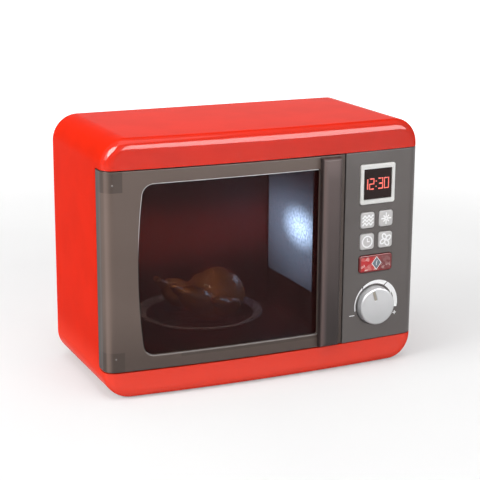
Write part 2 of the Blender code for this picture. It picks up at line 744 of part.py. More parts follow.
def make_case():
    """Red shell with its bands, its bulkhead and its rear bosses."""
    shell = case_form("case_shell", 0, BACK_Y, PARTS)
    hollow = case_form("case_hollow", CASE_WALL, BACK_Y + CUT_OVERRUN, CUTTERS)
    far = SIDE_X + CUT_OVERRUN
    ahead = FRONT_Y - CUT_OVERRUN
    shelf = box(
        "case_shelves",
        (-far, ahead, RECESS_BOTTOM - CASE_WALL),
        (far, BULKHEAD_BACK, RECESS_TOP + CASE_WALL),
        CUTTERS,
    )
    cut(hollow, shelf)
    cut(shell, hollow)
    notch = box("front_notch", (-far, ahead, RECESS_BOTTOM), (far, SIDE_EDGE_Y, RECESS_TOP), CUTTERS)
    round_lower_back(notch, SIDE_NOTCH_RADIUS)
    inner = SIDE_X - SIDE_LIP
    recess = box(
        "front_recess", (-inner, ahead, RECESS_BOTTOM), (inner, BULKHEAD_FRONT, RECESS_TOP), CUTTERS
    )
    cavity_door = rounded_box(
        "cavity_opening",
        (CAVITY_LEFT, FRONT_Y, CAVITY_FLOOR),
        (CAVITY_RIGHT, BULKHEAD_BACK + CUT_OVERRUN, CAVITY_CEILING),
        CAVITY_CORNER_RADIUS,
        CUTTERS,
    )
    panel_door = rounded_box(
        "panel_opening",
        (BOARD_LEFT + PANEL_OPENING_SIDE_MARGIN, FRONT_Y, BOARD_BOTTOM + PANEL_OPENING_MARGIN),
        (BOARD_RIGHT, BULKHEAD_BACK + CUT_OVERRUN, BOARD_TOP - PANEL_OPENING_MARGIN),
        CAVITY_CORNER_RADIUS,
        CUTTERS,
    )
    catch_slot = box(
        "catch_slot",
        (CATCH_LEFT - FIT_GAP, FRONT_Y, CATCH_Z - CATCH_HEIGHT / 2 - CATCH_SLOT_END_GAP),
        (
            CATCH_LEFT + CATCH_WIDTH + CATCH_SLOT_SIDE_GAP,
            BULKHEAD_BACK + CUT_OVERRUN,
            CATCH_Z + CATCH_HEIGHT / 2 + CATCH_SLOT_END_GAP,
        ),
        CUTTERS,
    )
    cut(shell, notch, recess, cavity_door, panel_door, catch_slot)
    for index, (x, z) in enumerate(cover_boss_places(), 1):
        start = BOSS_END_Y - COVER_BOSS_LENGTH
        boss = rod(f"cover_boss_{index}", COVER_BOSS_RADIUS, (x, start, z), (x, BOSS_END_Y, z))
        join(shell, boss)
        hole_start = BOSS_END_Y - SCREW_LENGTH
        cut(shell, screw_hole(f"boss_hole_{index}", x, z, hole_start, BACK_Y))
    for name, z in (("top_pin_hole", RECESS_TOP), ("bottom_pin_hole", RECESS_BOTTOM)):
        radius = HINGE_PIN_RADIUS + FIT_GAP
        low, high = (HINGE_X, HINGE_Y, z - CUT_OVERRUN), (HINGE_X, HINGE_Y, z + CUT_OVERRUN)
        cut(shell, rod(name, radius, low, high, SCREW_SIDES, CUTTERS))
    dress(shell, RED, 0.15)


def make_rear_cover():
    """Rear cover with its slots, speaker collar, battery opening and screws."""
    inset = CASE_WALL + FIT_GAP
    radius = CASE_CORNER_RADIUS - inset
    bm = box_mesh((-SIDE_X + inset, COVER_INNER_Y, inset), (SIDE_X - inset, BACK_Y, CASE_HEIGHT - inset))
    round_edges(bm, lambda edge: runs_along(edge, 1), radius, CORNER_SEGMENTS)
    cover = link_mesh("rear_cover", bm)
    collar_radius = SPEAKER_RADIUS + FIT_GAP
    start = COVER_INNER_Y - SPEAKER_COLLAR_DEPTH
    centre = (BATTERY_X, SPEAKER_HEIGHT)
    ring = rod(
        "speaker_collar",
        collar_radius + SPEAKER_COLLAR_WALL,
        (centre[0], start, centre[1]),
        (centre[0], COVER_INNER_Y + COVER_THICKNESS / 2, centre[1]),
        FINE_SIDES,
    )
    bore = rod(
        "speaker_bore",
        collar_radius,
        (centre[0], start - CUT_OVERRUN, centre[1]),
        (centre[0], COVER_INNER_Y + FIT_GAP, centre[1]),
        FINE_SIDES,
    )
    join(cover, ring)
    cut(cover, bore)
    front, back = COVER_INNER_Y - CUT_OVERRUN, BACK_Y + CUT_OVERRUN
    half, tall = SLOT_LENGTH / 2, SLOT_WIDTH / 2
    openings = []
    for index in range(SLOT_COUNT):
        z = SPEAKER_HEIGHT + (index - (SLOT_COUNT - 1) / 2) * SLOT_PITCH
        low, high = (BATTERY_X - half, front, z - tall), (BATTERY_X + half, back, z + tall)
        openings.append(rounded_box(f"sound_slot_{index}", low, high, SLOT_WIDTH / 3))
    half = BOX_HALF_WIDTH + BOX_LEDGE
    tall = BOX_HALF_HEIGHT + BOX_LEDGE
    bay = box(
        "battery_opening",
        (BATTERY_X - half, front, BATTERY_CENTRE_HEIGHT - tall),
        (BATTERY_X + half, back, BATTERY_CENTRE_HEIGHT + tall + BATTERY_TAB),
    )
    cut(cover, gather("cover_openings", [*openings, bay]))
    for index, (x, z) in enumerate(cover_boss_places(), 1):
        seat = BACK_Y - SCREW_HEAD_HEIGHT
        cut(cover, sunk_screw_hole(f"cover_hole_{index}", x, z, front, seat))
        screw = turned(
            f"rear_screw_{index}", screw_profile(SCREW_LENGTH), (x, seat, z), (0, 1, 0), SCREW_SIDES
        )
        dress(screw, STEEL, 0.3, 1.0)
    dress(cover, RED, 0.3)


def make_speaker():
    """Speaker in the collar behind the slots."""
    profile = [
        (0, SPEAKER_DEPTH),
        (SPEAKER_MAGNET_RADIUS, SPEAKER_DEPTH),
        (SPEAKER_MAGNET_RADIUS, SPEAKER_DEPTH - SPEAKER_MAGNET_DEPTH),
        (SPEAKER_RADIUS, SPEAKER_RIM_THICKNESS),
        (SPEAKER_RADIUS, 0),
        (SPEAKER_MAGNET_RADIUS, 0),
        (0, SPEAKER_RIM_THICKNESS),
    ]
    base = (BATTERY_X, COVER_INNER_Y, SPEAKER_HEIGHT)
    dress(turned("speaker", profile, base, (0, -1, 0), FINE_SIDES), BLACK, 0.5)


def make_cavity():
    """Liner of the cavity, open at the front, with the light's opening."""
    low = (CAVITY_LEFT - LINER_WALL, LINER_FRONT, LINER_UNDERSIDE)
    high = (LINER_RIGHT, CAVITY_BACK + LINER_WALL, CAVITY_CEILING + LINER_WALL)
    liner = rounded_box("cavity_liner", low, high, CAVITY_CORNER_RADIUS + LINER_WALL)
    room = rounded_box(
        "cavity_room",
        (CAVITY_LEFT, FRONT_Y, CAVITY_FLOOR),
        (CAVITY_RIGHT, CAVITY_BACK, CAVITY_CEILING),
        CAVITY_CORNER_RADIUS,
    )
    front, back = LINER_FRONT + DIFFUSER_MARGIN, CAVITY_BACK - DIFFUSER_MARGIN
    sill, lintel = CAVITY_FLOOR + DIFFUSER_SILL, CAVITY_CEILING - DIFFUSER_LINTEL
    light = box(
        "light_opening",
        (CAVITY_RIGHT - CUT_OVERRUN, front, sill),
        (LINER_RIGHT + CUT_OVERRUN, back, lintel),
    )
    spindle_hole = rod(
        "spindle_hole",
        SPINDLE_RADIUS + FIT_GAP,
        (PLATE_X, PLATE_Y, LINER_UNDERSIDE - CUT_OVERRUN),
        (PLATE_X, PLATE_Y, CAVITY_FLOOR + CUT_OVERRUN),
    )
    cut(liner, room, light, spindle_hole)
    dress(liner, RED, 0.3)
    lap = DIFFUSER_LAP
    face = LINER_RIGHT + FIT_GAP
    diffuser = box(
        "light_diffuser",
        (face, front - lap, sill - lap),
        (face + DIFFUSER_THICKNESS, back + lap, lintel + lap),
    )
    dress(diffuser, BLUE_WHITE, 0.5)
    make_lamp(face + DIFFUSER_THICKNESS + FIT_GAP, (front + back) / 2 - LAMP_OFFSET)


def led_profile():
    """Profile of a domed light on its flange."""
    turns = even_steps(0, TURN / 4, SMALL_SEGMENTS)
    shoulder = LED_LENGTH - LED_RADIUS
    dome = [(LED_RADIUS * math.sin(a), shoulder + LED_RADIUS * math.cos(a)) for a in turns]
    return dome + [
        (LED_RADIUS, LED_FLANGE_HEIGHT),
        (LED_FLANGE_RADIUS, LED_FLANGE_HEIGHT),
        (LED_FLANGE_RADIUS, 0),
        (0, 0),
    ]


def make_lamp(face_x, y):
    """Lamp holder on the diffuser, and the light inside it."""
    half = LAMP_HOLDER_SIZE / 2
    end = face_x + LAMP_HOLDER_DEPTH
    holder = box(
        "lamp_holder", (face_x, y - half, LAMP_HEIGHT - half), (end, y + half, LAMP_HEIGHT + half)
    )
    room = half - LAMP_HOLDER_WALL
    hollow = box(
        "lamp_room",
        (face_x - CUT_OVERRUN, y - room, LAMP_HEIGHT - room),
        (end - LAMP_HOLDER_WALL, y + room, LAMP_HEIGHT + room),
    )
    cut(holder, hollow)
    dress(holder, WHITE, 0.4)
    base = (end - LAMP_HOLDER_WALL - FIT_GAP, y, LAMP_HEIGHT)
    dress(turned("lamp_led", led_profile(), base, (-1, 0, 0)), BLUE_WHITE, 0.2)


def window_outline(offset):
    """Outline in X and Z of the window opening, grown by an even offset."""
    left, right = WINDOW_LEFT - offset, WINDOW_RIGHT + offset
    bottom, top = WINDOW_BOTTOM - offset, WINDOW_TOP + offset
    middle, tall = (bottom + top) / 2, (top - bottom) / 2
    wide = right - left

    def side_x(z):
        return left + WINDOW_SIDE_BULGE * ((z - middle) / tall) ** 2

    def top_z(x):
        return top - WINDOW_TOP_FALL * ((right - x) / wide) ** 2

    large = WINDOW_CORNER_RADIUS + offset
    small = WINDOW_SMALL_RADIUS + offset
    side = even_steps(bottom + 2 * large, top - 2 * large, WINDOW_EDGE_POINTS)
    upper = even_steps(left + WINDOW_SIDE_BULGE + 2 * large, right - 2 * small, WINDOW_EDGE_POINTS)
    corners = [(right, bottom, small), (side_x(bottom), bottom, large)]
    corners += [(side_x(z), z, 0) for z in side]
    corners += [(side_x(top), top_z(left), large)]
    corners += [(x, top_z(x), 0) for x in upper]
    corners += [(right, top, small)]
    return rounded_outline(corners)


def rounded_outline(corners):
    """Points of a closed outline, each corner rounded by its own radius."""
    points = []
    for index, (x, z, radius) in enumerate(corners):
        here = Vector((x, z))
        if not radius:
            points.append(tuple(here))
            continue
        before = (Vector(corners[index - 1][:2]) - here).normalized()
        after = (Vector(corners[(index + 1) % len(corners)][:2]) - here).normalized()
        half_angle = before.angle(after) / 2
        centre = here + (before + after).normalized() * radius / math.sin(half_angle)
        start = here + before * radius / math.tan(half_angle) - centre
        end = here + after * radius / math.tan(half_angle) - centre
        sweep = start.angle_signed(end)
        for step in even_steps(0, sweep, CORNER_SEGMENTS):
            points.append(tuple(centre + Matrix.Rotation(-step, 2) @ start))
    return points


def make_door():
    """Door frame, pane, inner panel, handle, catch and hinge pins."""
    make_door_frame()
    front = FRONT_Y + PANE_FRONT_INSET
    pane = prism("door_window", window_outline(PANE_LAP), front, front + PANE_THICKNESS, "Y")
    follow_bow(pane, columns=FRONT_COLUMNS)
    dress(pane, SMOKE, 0.1)
    make_door_liner()
    make_handle()
    make_catch()
    make_hinge_pins()
    names = (
        "door_frame",
        "door_window",
        "door_liner",
        "door_handle",
        "door_catch",
        "handle_screw_upper",
        "handle_screw_lower",
    )
    carry("door_hinge", (HINGE_X, HINGE_Y, DOOR_BOTTOM), [bpy.data.objects[name] for name in names])


def knuckle_corners(grow, rear):
    """Low and high corners of the two blocks that hold the hinge pins."""
    left, right = -SIDE_X, -SIDE_X + KNUCKLE_WIDTH + grow
    lower = ((left, FRONT_Y, DOOR_BOTTOM - grow), (right, rear, DOOR_BOTTOM + KNUCKLE_HEIGHT + grow))
    upper = ((left, FRONT_Y, DOOR_TOP - KNUCKLE_HEIGHT - grow), (right, rear, DOOR_TOP + grow))
    return lower, upper


def make_door_frame():
    """Tray of the door with its window opening and its hinge knuckles."""
    frame = prism("door_frame", wrapped_outline(-1, DOOR_RIGHT, 0, DOOR_REAR), DOOR_BOTTOM, DOOR_TOP)
    round_lower_back(frame, SIDE_NOTCH_RADIUS - SHUT_GAP)
    hollow = prism(
        "door_hollow",
        wrapped_outline(-1, DOOR_RIGHT - DOOR_FLANGE_WALL, SKIN_WALL, DOOR_REAR + CUT_OVERRUN),
        DOOR_BOTTOM + DOOR_FLANGE_WALL,
        DOOR_TOP - DOOR_FLANGE_WALL,
    )
    lower, upper = knuckle_corners(0, DOOR_REAR + 2 * CUT_OVERRUN)
    cut(hollow, box("knuckle_lower", *lower), box("knuckle_upper", *upper))
    opening = prism(
        "window_opening", window_outline(0), FRONT_Y - CUT_OVERRUN, DOOR_REAR + CUT_OVERRUN, "Y"
    )
    cut(frame, hollow, opening)
    radius = HINGE_PIN_RADIUS + HINGE_GAP
    depth = HINGE_PIN_LENGTH - HINGE_PIN_TAIL - CASE_WALL - SHUT_GAP + FIT_GAP
    for name, edge, side in (("upper", DOOR_TOP, -1), ("lower", DOOR_BOTTOM, 1)):
        low = (HINGE_X, HINGE_Y, edge - side * CUT_OVERRUN)
        high = (HINGE_X, HINGE_Y, edge + side * depth)
        cut(frame, rod("door_pin_hole_" + name, radius, low, high, SCREW_SIDES))
    for name, z in handle_screw_places():
        start, end = FRONT_Y - CUT_OVERRUN, FRONT_Y + 2 * CUT_OVERRUN
        cut(frame, screw_hole("frame_hole_" + name, HANDLE_X, z, start, end))
    dress(frame, GREY, 0.35)


def make_door_liner():
    """Inner panel of the door, with the tunnel that clamps the pane."""
    gap = FIT_GAP
    liner = box(
        "door_liner",
        (-SIDE_X, DOOR_LINER_FRONT, DOOR_BOTTOM + DOOR_FLANGE_WALL + gap),
        (DOOR_RIGHT - DOOR_FLANGE_WALL - gap, DOOR_LINER_REAR, DOOR_TOP - DOOR_FLANGE_WALL - gap),
    )
    low, high = DOOR_BOTTOM - CUT_OVERRUN, DOOR_TOP + CUT_OVERRUN
    outline = wrapped_outline(-1, DOOR_RIGHT, SKIN_WALL + gap, DOOR_REAR)
    keep_common(liner, prism("liner_room", outline, low, high))
    lower, upper = knuckle_corners(gap, DOOR_REAR + CUT_OVERRUN)
    cut(liner, box("liner_corner_lower", *lower), box("liner_corner_upper", *upper))
    wall = TUNNEL_INSET + TUNNEL_WALL
    front = FRONT_Y + TUNNEL_FRONT_INSET
    tunnel = prism("window_tunnel", window_outline(wall), front, DOOR_LINER_FRONT + gap, "Y")
    follow_bow(tunnel, front + gap, FRONT_COLUMNS)
    join(liner, tunnel)
    start, end = FRONT_Y - CUT_OVERRUN, DOOR_REAR + CUT_OVERRUN
    cut(liner, prism("liner_opening", window_outline(TUNNEL_INSET), start, end, "Y"))
    catch_hole = box(
        "liner_catch_hole",
        (CATCH_LEFT - gap, DOOR_LINER_FRONT - CUT_OVERRUN, CATCH_Z - CATCH_HEIGHT / 2 - gap),
        (CATCH_LEFT + CATCH_WIDTH + gap, end, CATCH_Z + CATCH_HEIGHT / 2 + gap),
    )
    cut(liner, catch_hole)
    dress(liner, GREY, 0.45)


def handle_screw_places():
    """Name and height of the two screws that hold the handle."""
    return (
        ("upper", DOOR_TOP - HANDLE_SCREW_INSET),
        ("lower", DOOR_BOTTOM + HANDLE_SCREW_INSET),
    )


def make_handle():
    """Handle bar on the door's face, with its two screws."""
    low = (HANDLE_LEFT, HANDLE_FACE_Y, DOOR_BOTTOM + HANDLE_END_GAP)
    high = (HANDLE_RIGHT, FRONT_Y - FIT_GAP, DOOR_TOP - HANDLE_END_GAP)
    bm = box_mesh(low, high)

    def on_face(edge):
        return all(abs(vert.co.y - HANDLE_FACE_Y) < WELD_DISTANCE for vert in edge.verts)

    round_edges(bm, on_face, HANDLE_EDGE_RADIUS, EDGE_SEGMENTS)
    for vert in bm.verts:
        if vert.co.y > high[1] - WELD_DISTANCE:
            vert.co.y += bow(vert.co.x)
    handle = link_mesh("door_handle", bm)
    seat = front_y(HANDLE_RIGHT, SKIN_WALL) + FIT_GAP
    for name, z in handle_screw_places():
        tip = seat - HANDLE_SCREW_LENGTH
        hole = screw_hole("handle_hole_" + name, HANDLE_X, z, tip - FIT_GAP, FRONT_Y + CUT_OVERRUN)
        cut(handle, hole)
        profile = screw_profile(HANDLE_SCREW_LENGTH)
        screw = turned("handle_screw_" + name, profile, (HANDLE_X, seat, z), (0, 1, 0), SCREW_SIDES)
        dress(screw, STEEL, 0.3, 1.0)
    dress(handle, HANDLE_GREY, 0.4)


def make_catch():
    """Catch that stands out behind the door, and the switch it reaches."""
    middle = CATCH_LEFT + CATCH_WIDTH / 2
    base_back = DOOR_LINER_FRONT - FIT_GAP
    base_front = base_back - CATCH_BASE_THICKNESS
    tall = CATCH_BASE_HEIGHT / 2
    catch = box(
        "door_catch",
        (middle - CATCH_BASE_WIDTH / 2, base_front, CATCH_Z - tall),
        (middle + CATCH_WIDTH / 2, base_back, CATCH_Z + tall),
    )
    tongue = box(
        "catch_tongue",
        (CATCH_LEFT, base_back - CATCH_BASE_THICKNESS / 2, CATCH_Z - CATCH_HEIGHT / 2),
        (CATCH_LEFT + CATCH_WIDTH, CATCH_TIP, CATCH_Z + CATCH_HEIGHT / 2),
    )
    join(catch, tongue)
    dress(catch, GREY, 0.4)
    left, front = LINER_RIGHT + FIT_GAP, CATCH_TIP + FIT_GAP
    tall = DOOR_SWITCH_HEIGHT / 2
    switch = box(
        "door_switch",
        (left, front, CATCH_Z - tall),
        (left + DOOR_SWITCH_WIDTH, front + DOOR_SWITCH_DEPTH, CATCH_Z + tall),
    )
    dress(switch, BLACK, 0.4)


def make_hinge_pins():
    """Two pins, each through a shelf of the case into a knuckle of the door."""
    for name, edge, side in (("top", RECESS_TOP, 1), ("bottom", RECESS_BOTTOM, -1)):
        outer = edge + side * (CASE_WALL + HINGE_PIN_TAIL)
        low = (HINGE_X, HINGE_Y, outer - side * HINGE_PIN_LENGTH)
        pin = rod("hinge_pin_" + name, HINGE_PIN_RADIUS, low, (HINGE_X, HINGE_Y, outer), SCREW_SIDES)
        dress(pin, STEEL, 0.3, 1.0)


def button_places():
    """Name, X and Z of the four square buttons."""
    left, right = CONTROL_X - BUTTON_COLUMN_PITCH / 2, CONTROL_X + BUTTON_COLUMN_PITCH / 2
    return (
        ("waves_button", left, UPPER_BUTTON_Z),
        ("frost_button", right, UPPER_BUTTON_Z),
        ("clock_button", left, LOWER_BUTTON_Z),
        ("fan_button", right, LOWER_BUTTON_Z),
    )


def panel_hole(name, x, z, width, height, radius):
    """Cutter through the panel with the running gap all round."""
    wide, tall = width / 2 + FIT_GAP, height / 2 + FIT_GAP
    return rounded_box(
        name,
        (x - wide, FRONT_Y - CUT_OVERRUN, z - tall),
        (x + wide, FRONT_Y + 2 * CUT_OVERRUN, z + tall),
        radius + FIT_GAP,
        CUTTERS,
    )


def board_post_places():
    """X and Z of the four posts that carry the control board."""
    return [
        (x, z)
        for x in (BOARD_LEFT + BOARD_POST_INSET, BOARD_RIGHT - BOARD_POST_INSET)
        for z in (BOARD_BOTTOM + BOARD_POST_INSET, BOARD_TOP - BOARD_POST_INSET)
    ]


def make_control_panel():
    """Tray of the control panel with its holes, knob seat and board posts."""
    panel = prism(
        "control_panel", wrapped_outline(1, PANEL_LEFT, 0, PANEL_REAR), PANEL_BOTTOM, PANEL_TOP
    )
    round_lower_back(panel, SIDE_NOTCH_RADIUS - PANEL_GAP)
    hollow = prism(
        "panel_hollow",
        wrapped_outline(1, PANEL_LEFT + DOOR_FLANGE_WALL, SKIN_WALL, PANEL_REAR + CUT_OVERRUN),
        PANEL_BOTTOM + DOOR_FLANGE_WALL,
        PANEL_TOP - DOOR_FLANGE_WALL,
    )
    cut(panel, hollow)
    for index, (x, z) in enumerate(board_post_places(), 1):
        start, end = (x, front_y(x, SKIN_WALL / 2), z), (x, BOARD_FRONT - FIT_GAP, z)
        post = rod(f"board_post_{index}", BOARD_POST_RADIUS, start, end, SCREW_SIDES)
        join(panel, post)
    seat_radius = KNOB_RADIUS + KNOB_SEAT_CLEARANCE
    boss = rod(
        "knob_boss",
        seat_radius + KNOB_SEAT_RIM,
        (CONTROL_X, SEAT_FLOOR_Y - FIT_GAP, KNOB_Z),
        (CONTROL_X, SEAT_FLOOR_Y + KNOB_SEAT_WALL, KNOB_Z),
        FINE_SIDES,
    )
    join(panel, boss)
    ahead = FRONT_Y - CUT_OVERRUN
    low, high = (CONTROL_X, ahead, KNOB_Z), (CONTROL_X, SEAT_FLOOR_Y, KNOB_Z)
    seat = rod("knob_seat", seat_radius, low, high, FINE_SIDES)
    shaft_hole = rod(
        "shaft_hole",
        SHAFT_RADIUS + FIT_GAP,
        (CONTROL_X, ahead, KNOB_Z),
        (CONTROL_X, SEAT_FLOOR_Y + 2 * CUT_OVERRUN, KNOB_Z),
    )
    size, radius = BUTTON_SIZE, BUTTON_CORNER_RADIUS
    bezel = panel_hole(
        "bezel_hole", CONTROL_X, DISPLAY_Z, BEZEL_SIZE, BEZEL_SIZE, BEZEL_CORNER_RADIUS
    )
    start = panel_hole("start_hole", CONTROL_X, START_Z, START_WIDTH, START_SIZE, radius)
    buttons = [panel_hole(name + "_hole", x, z, size, size, radius) for name, x, z in button_places()]
    cut(panel, seat, shaft_hole, gather("panel_openings", [bezel, start, *buttons]))
    dress(panel, PANEL_GREY, 0.35)


def make_display():
    """White bezel through the panel, the dark lens in it and the module behind."""
    half = BEZEL_SIZE / 2
    rear = FRONT_Y + BEZEL_DEPTH + bow(CONTROL_X)
    bezel = rounded_box(
        "display_bezel",
        (CONTROL_X - half, FRONT_Y - PROUD, DISPLAY_Z - half),
        (CONTROL_X + half, rear, DISPLAY_Z + half),
        BEZEL_CORNER_RADIUS,
    )
    follow_bow(bezel, FRONT_Y)
    wide, tall = SCREEN_WIDTH / 2, SCREEN_HEIGHT / 2
    opening = box(
        "screen_opening",
        (CONTROL_X - wide, FRONT_Y - CUT_OVERRUN, DISPLAY_Z - tall),
        (CONTROL_X + wide, rear + CUT_OVERRUN, DISPLAY_Z + tall),
    )
    cut(bezel, opening)
    dress(bezel, WHITE, 0.35)
    gap = FIT_GAP
    front = FRONT_Y - PROUD + SCREEN_RECESS
    lens = box(
        "display_lens",
        (CONTROL_X - wide + gap, front, DISPLAY_Z - tall + gap),
        (CONTROL_X + wide - gap, front + SCREEN_THICKNESS, DISPLAY_Z + tall - gap),
    )
    follow_bow(lens)
    dress(lens, BLACK, 0.1)
    lap = DISPLAY_MODULE_LAP
    lens_back = front + SCREEN_THICKNESS + bow(CONTROL_X + wide)
    module = box(
        "display_module",
        (CONTROL_X - wide + lap, lens_back + gap, DISPLAY_Z - tall + lap),
        (CONTROL_X + wide - lap, BOARD_FRONT - gap, DISPLAY_Z + tall - lap),
    )
    dress(module, BLACK, 0.5)


def make_button(name, x, z, width, height, colour):
    """Sprung button: cap through the panel, flange behind it and a stem."""
    wide, tall = width / 2, height / 2
    lap = BUTTON_FLANGE_LAP
    flange_front = front_y(x + wide + lap, SKIN_WALL) + FIT_GAP
    cap = rounded_box(
        name,
        (x - wide, FRONT_Y - PROUD, z - tall),
        (x + wide, flange_front + BUTTON_FLANGE / 2, z + tall),
        BUTTON_CORNER_RADIUS,
    )
    follow_bow(cap, FRONT_Y)
    flange = box(
        name + "_flange",
        (x - wide - lap, flange_front, z - tall - lap),
        (x + wide + lap, flange_front + BUTTON_FLANGE, z + tall + lap),
    )
    stem = rod(
        name + "_stem",
        BUTTON_STEM_RADIUS,
        (x, flange_front + BUTTON_FLANGE / 2, z),
        (x, STEM_END, z),
        SCREW_SIDES,
    )
    join(cap, flange, stem)
    dress(cap, colour, 0.4)
    place_origin(cap, (x, FRONT_Y, z))


def make_switch(name, x, z):
    """Push switch on the control board, with its plunger."""
    half = SWITCH_SIZE / 2
    back = BOARD_FRONT - FIT_GAP
    body = box(name, (x - half, back - SWITCH_DEPTH, z - half), (x + half, back, z + half))
    start = (x, back - SWITCH_DEPTH / 2, z)
    plunger = rod(name + "_plunger", SWITCH_PLUNGER_RADIUS, start, (x, SWITCH_FRONT, z), SCREW_SIDES)
    join(body, plunger)
    dress(body, BLACK, 0.4)


def make_buttons():
    """The four square buttons and the start button, with their switches."""
    for index, (name, x, z) in enumerate(button_places(), 1):
        make_button(name, x, z, BUTTON_SIZE, BUTTON_SIZE, BUTTON_GREY)
        make_switch(f"button_switch_{index}", x, z)
    make_button("start_button", CONTROL_X, START_Z, START_WIDTH, START_SIZE, CLEAR_RED)
    make_switch("start_switch", CONTROL_X, START_Z)
    led_x = CONTROL_X - START_LED_OFFSET
    base = (led_x, BOARD_FRONT - FIT_GAP, START_Z)
    dress(turned("start_led", led_profile(), base, (0, -1, 0)), CLEAR_RED, 0.2)


def make_board():
    """Control board on the panel's posts, and the timer switch on it."""
    board = box(
        "control_board", (BOARD_LEFT, BOARD_FRONT, BOARD_BOTTOM), (BOARD_RIGHT, BOARD_BACK, BOARD_TOP)
    )
    dress(board, BOARD_GREEN, 0.4)
    back = BOARD_FRONT - FIT_GAP
    timer = rod(
        "timer_switch",
        TIMER_BODY_RADIUS,
        (CONTROL_X, back - TIMER_BODY_DEPTH, KNOB_Z),
        (CONTROL_X, back, KNOB_Z),
    )
    bore = rod(
        "timer_bore",
        SHAFT_RADIUS + FIT_GAP,
        (CONTROL_X, back - TIMER_BODY_DEPTH - CUT_OVERRUN, KNOB_Z),
        (CONTROL_X, back - TIMER_BODY_DEPTH / 4, KNOB_Z),
    )
    cut(timer, bore)
    dress(timer, STEEL, 0.4, 1.0)


def make_knob():
    """Timer knob with its pointer groove, on a shaft into the timer switch."""
    length = KNOB_BACK - KNOB_FACE
    turns = even_steps(0, TURN / 4, SMALL_SEGMENTS)
    rim = KNOB_EDGE_RADIUS
    edge = [
        (KNOB_FACE_RADIUS - rim + rim * math.sin(a), length - rim + rim * math.cos(a)) for a in turns
    ]
    profile = [(0, length)] + edge + [(KNOB_RADIUS, 0), (0, 0)]
    knob = turned("timer_knob", profile, (CONTROL_X, KNOB_BACK, KNOB_Z), (0, -1, 0), FINE_SIDES)
    groove = box(
        "pointer_groove",
        (-POINTER_WIDTH / 2, -POINTER_DEPTH, POINTER_OFFSET - POINTER_LENGTH / 2),
        (POINTER_WIDTH / 2, POINTER_DEPTH, POINTER_OFFSET + POINTER_LENGTH / 2),
        CUTTERS,
    )
    groove.data.transform(Matrix.Rotation(-POINTER_TILT, 4, "Y"))
    groove.location = (CONTROL_X, KNOB_FACE, KNOB_Z)
    socket_end = KNOB_BACK - SHAFT_SOCKET_DEPTH
    socket = rod(
        "knob_socket",
        SHAFT_RADIUS + FIT_GAP,
        (CONTROL_X, socket_end - FIT_GAP, KNOB_Z),
        (CONTROL_X, KNOB_BACK + CUT_OVERRUN, KNOB_Z),
    )
    cut(knob, groove, socket)
    dress(knob, SILVER, 0.35)
    shaft_end = BOARD_FRONT - FIT_GAP - TIMER_BODY_DEPTH / 2
    shaft = rod(
        "knob_shaft",
        SHAFT_RADIUS,
        (CONTROL_X, socket_end, KNOB_Z),
        (CONTROL_X, shaft_end, KNOB_Z),
    )
    dress(shaft, STEEL, 0.4, 1.0)
    carry("timer_axis", (CONTROL_X, KNOB_BACK, KNOB_Z), [knob, shaft])


def make_batteries():
    """Battery box with its cells, contacts, door and door screw."""
    wide, tall = BOX_HALF_WIDTH, BOX_HALF_HEIGHT
    middle = BATTERY_CENTRE_HEIGHT
    wall = BOX_WALL
    tray = box(
        "battery_box",
        (BATTERY_X - wide - wall, BOX_FLOOR_Y - wall, middle - tall - wall),
        (BATTERY_X + wide + wall, BOX_REAR, middle + tall + BATTERY_TAB),
    )
    room = box(
        "battery_room",
        (BATTERY_X - wide, BOX_FLOOR_Y, middle - tall),
        (BATTERY_X + wide, BOX_REAR + CUT_OVERRUN, middle + tall),
    )
    screw_z = middle + tall + BATTERY_TAB / 2
    seat = BOX_REAR + FIT_GAP + BATTERY_DOOR_THICKNESS - SCREW_HEAD_HEIGHT
    hole = screw_hole("box_screw_hole", BATTERY_X, screw_z, BOX_REAR - BATTERY_SCREW_LENGTH, BACK_Y)
    cut(tray, room, hole)
    dress(tray, BLACK, 0.5)
    first = BATTERY_X - (CELL_COUNT - 1) / 2 * CELL_PITCH
    low = middle - tall + CONTACT_THICKNESS + FIT_GAP
    profile = [
        (0, CELL_LENGTH + CELL_NUB_LENGTH),
        (CELL_NUB_RADIUS, CELL_LENGTH + CELL_NUB_LENGTH),
        (CELL_NUB_RADIUS, CELL_LENGTH),
        (CELL_RADIUS, CELL_LENGTH),
        (CELL_RADIUS, 0),
        (0, 0),
    ]
    for index in range(CELL_COUNT):
        x = first + index * CELL_PITCH
        if index % 2:
            base, up = (x, CELL_Y, low + CELL_LENGTH + CELL_NUB_LENGTH), (0, 0, -1)
        else:
            base, up = (x, CELL_Y, low), (0, 0, 1)
        cell = turned(f"battery_{index + 1}", profile, base, up)
        dress(cell, STEEL, 0.4, 0.5)
    gap = FIT_GAP
    for name, z in (("upper", middle + tall - CONTACT_THICKNESS), ("lower", middle - tall)):
        contact = box(
            "battery_contact_" + name,
            (BATTERY_X - wide + gap, CELL_Y - CONTACT_DEPTH / 2, z + gap / 2),
            (BATTERY_X + wide - gap, CELL_Y + CONTACT_DEPTH / 2, z + CONTACT_THICKNESS - gap / 2),
        )
        dress(contact, STEEL, 0.3, 1.0)
    ledge = BOX_LEDGE - gap
    lid = box(
        "battery_door",
        (BATTERY_X - wide - ledge, COVER_LEDGE_Y, middle - tall - ledge),
        (
            BATTERY_X + wide + ledge,
            COVER_LEDGE_Y + BATTERY_DOOR_THICKNESS,
            middle + tall + BATTERY_TAB + ledge,
        ),
    )
    start = COVER_LEDGE_Y - CUT_OVERRUN
    cut(lid, sunk_screw_hole("door_screw_hole", BATTERY_X, screw_z, start, seat))
    dress(lid, RED, 0.3)
    profile = screw_profile(BATTERY_SCREW_LENGTH)
    screw = turned("battery_door_screw", profile, (BATTERY_X, seat, screw_z), (0, 1, 0), SCREW_SIDES)
    dress(screw, STEEL, 0.3, 1.0)


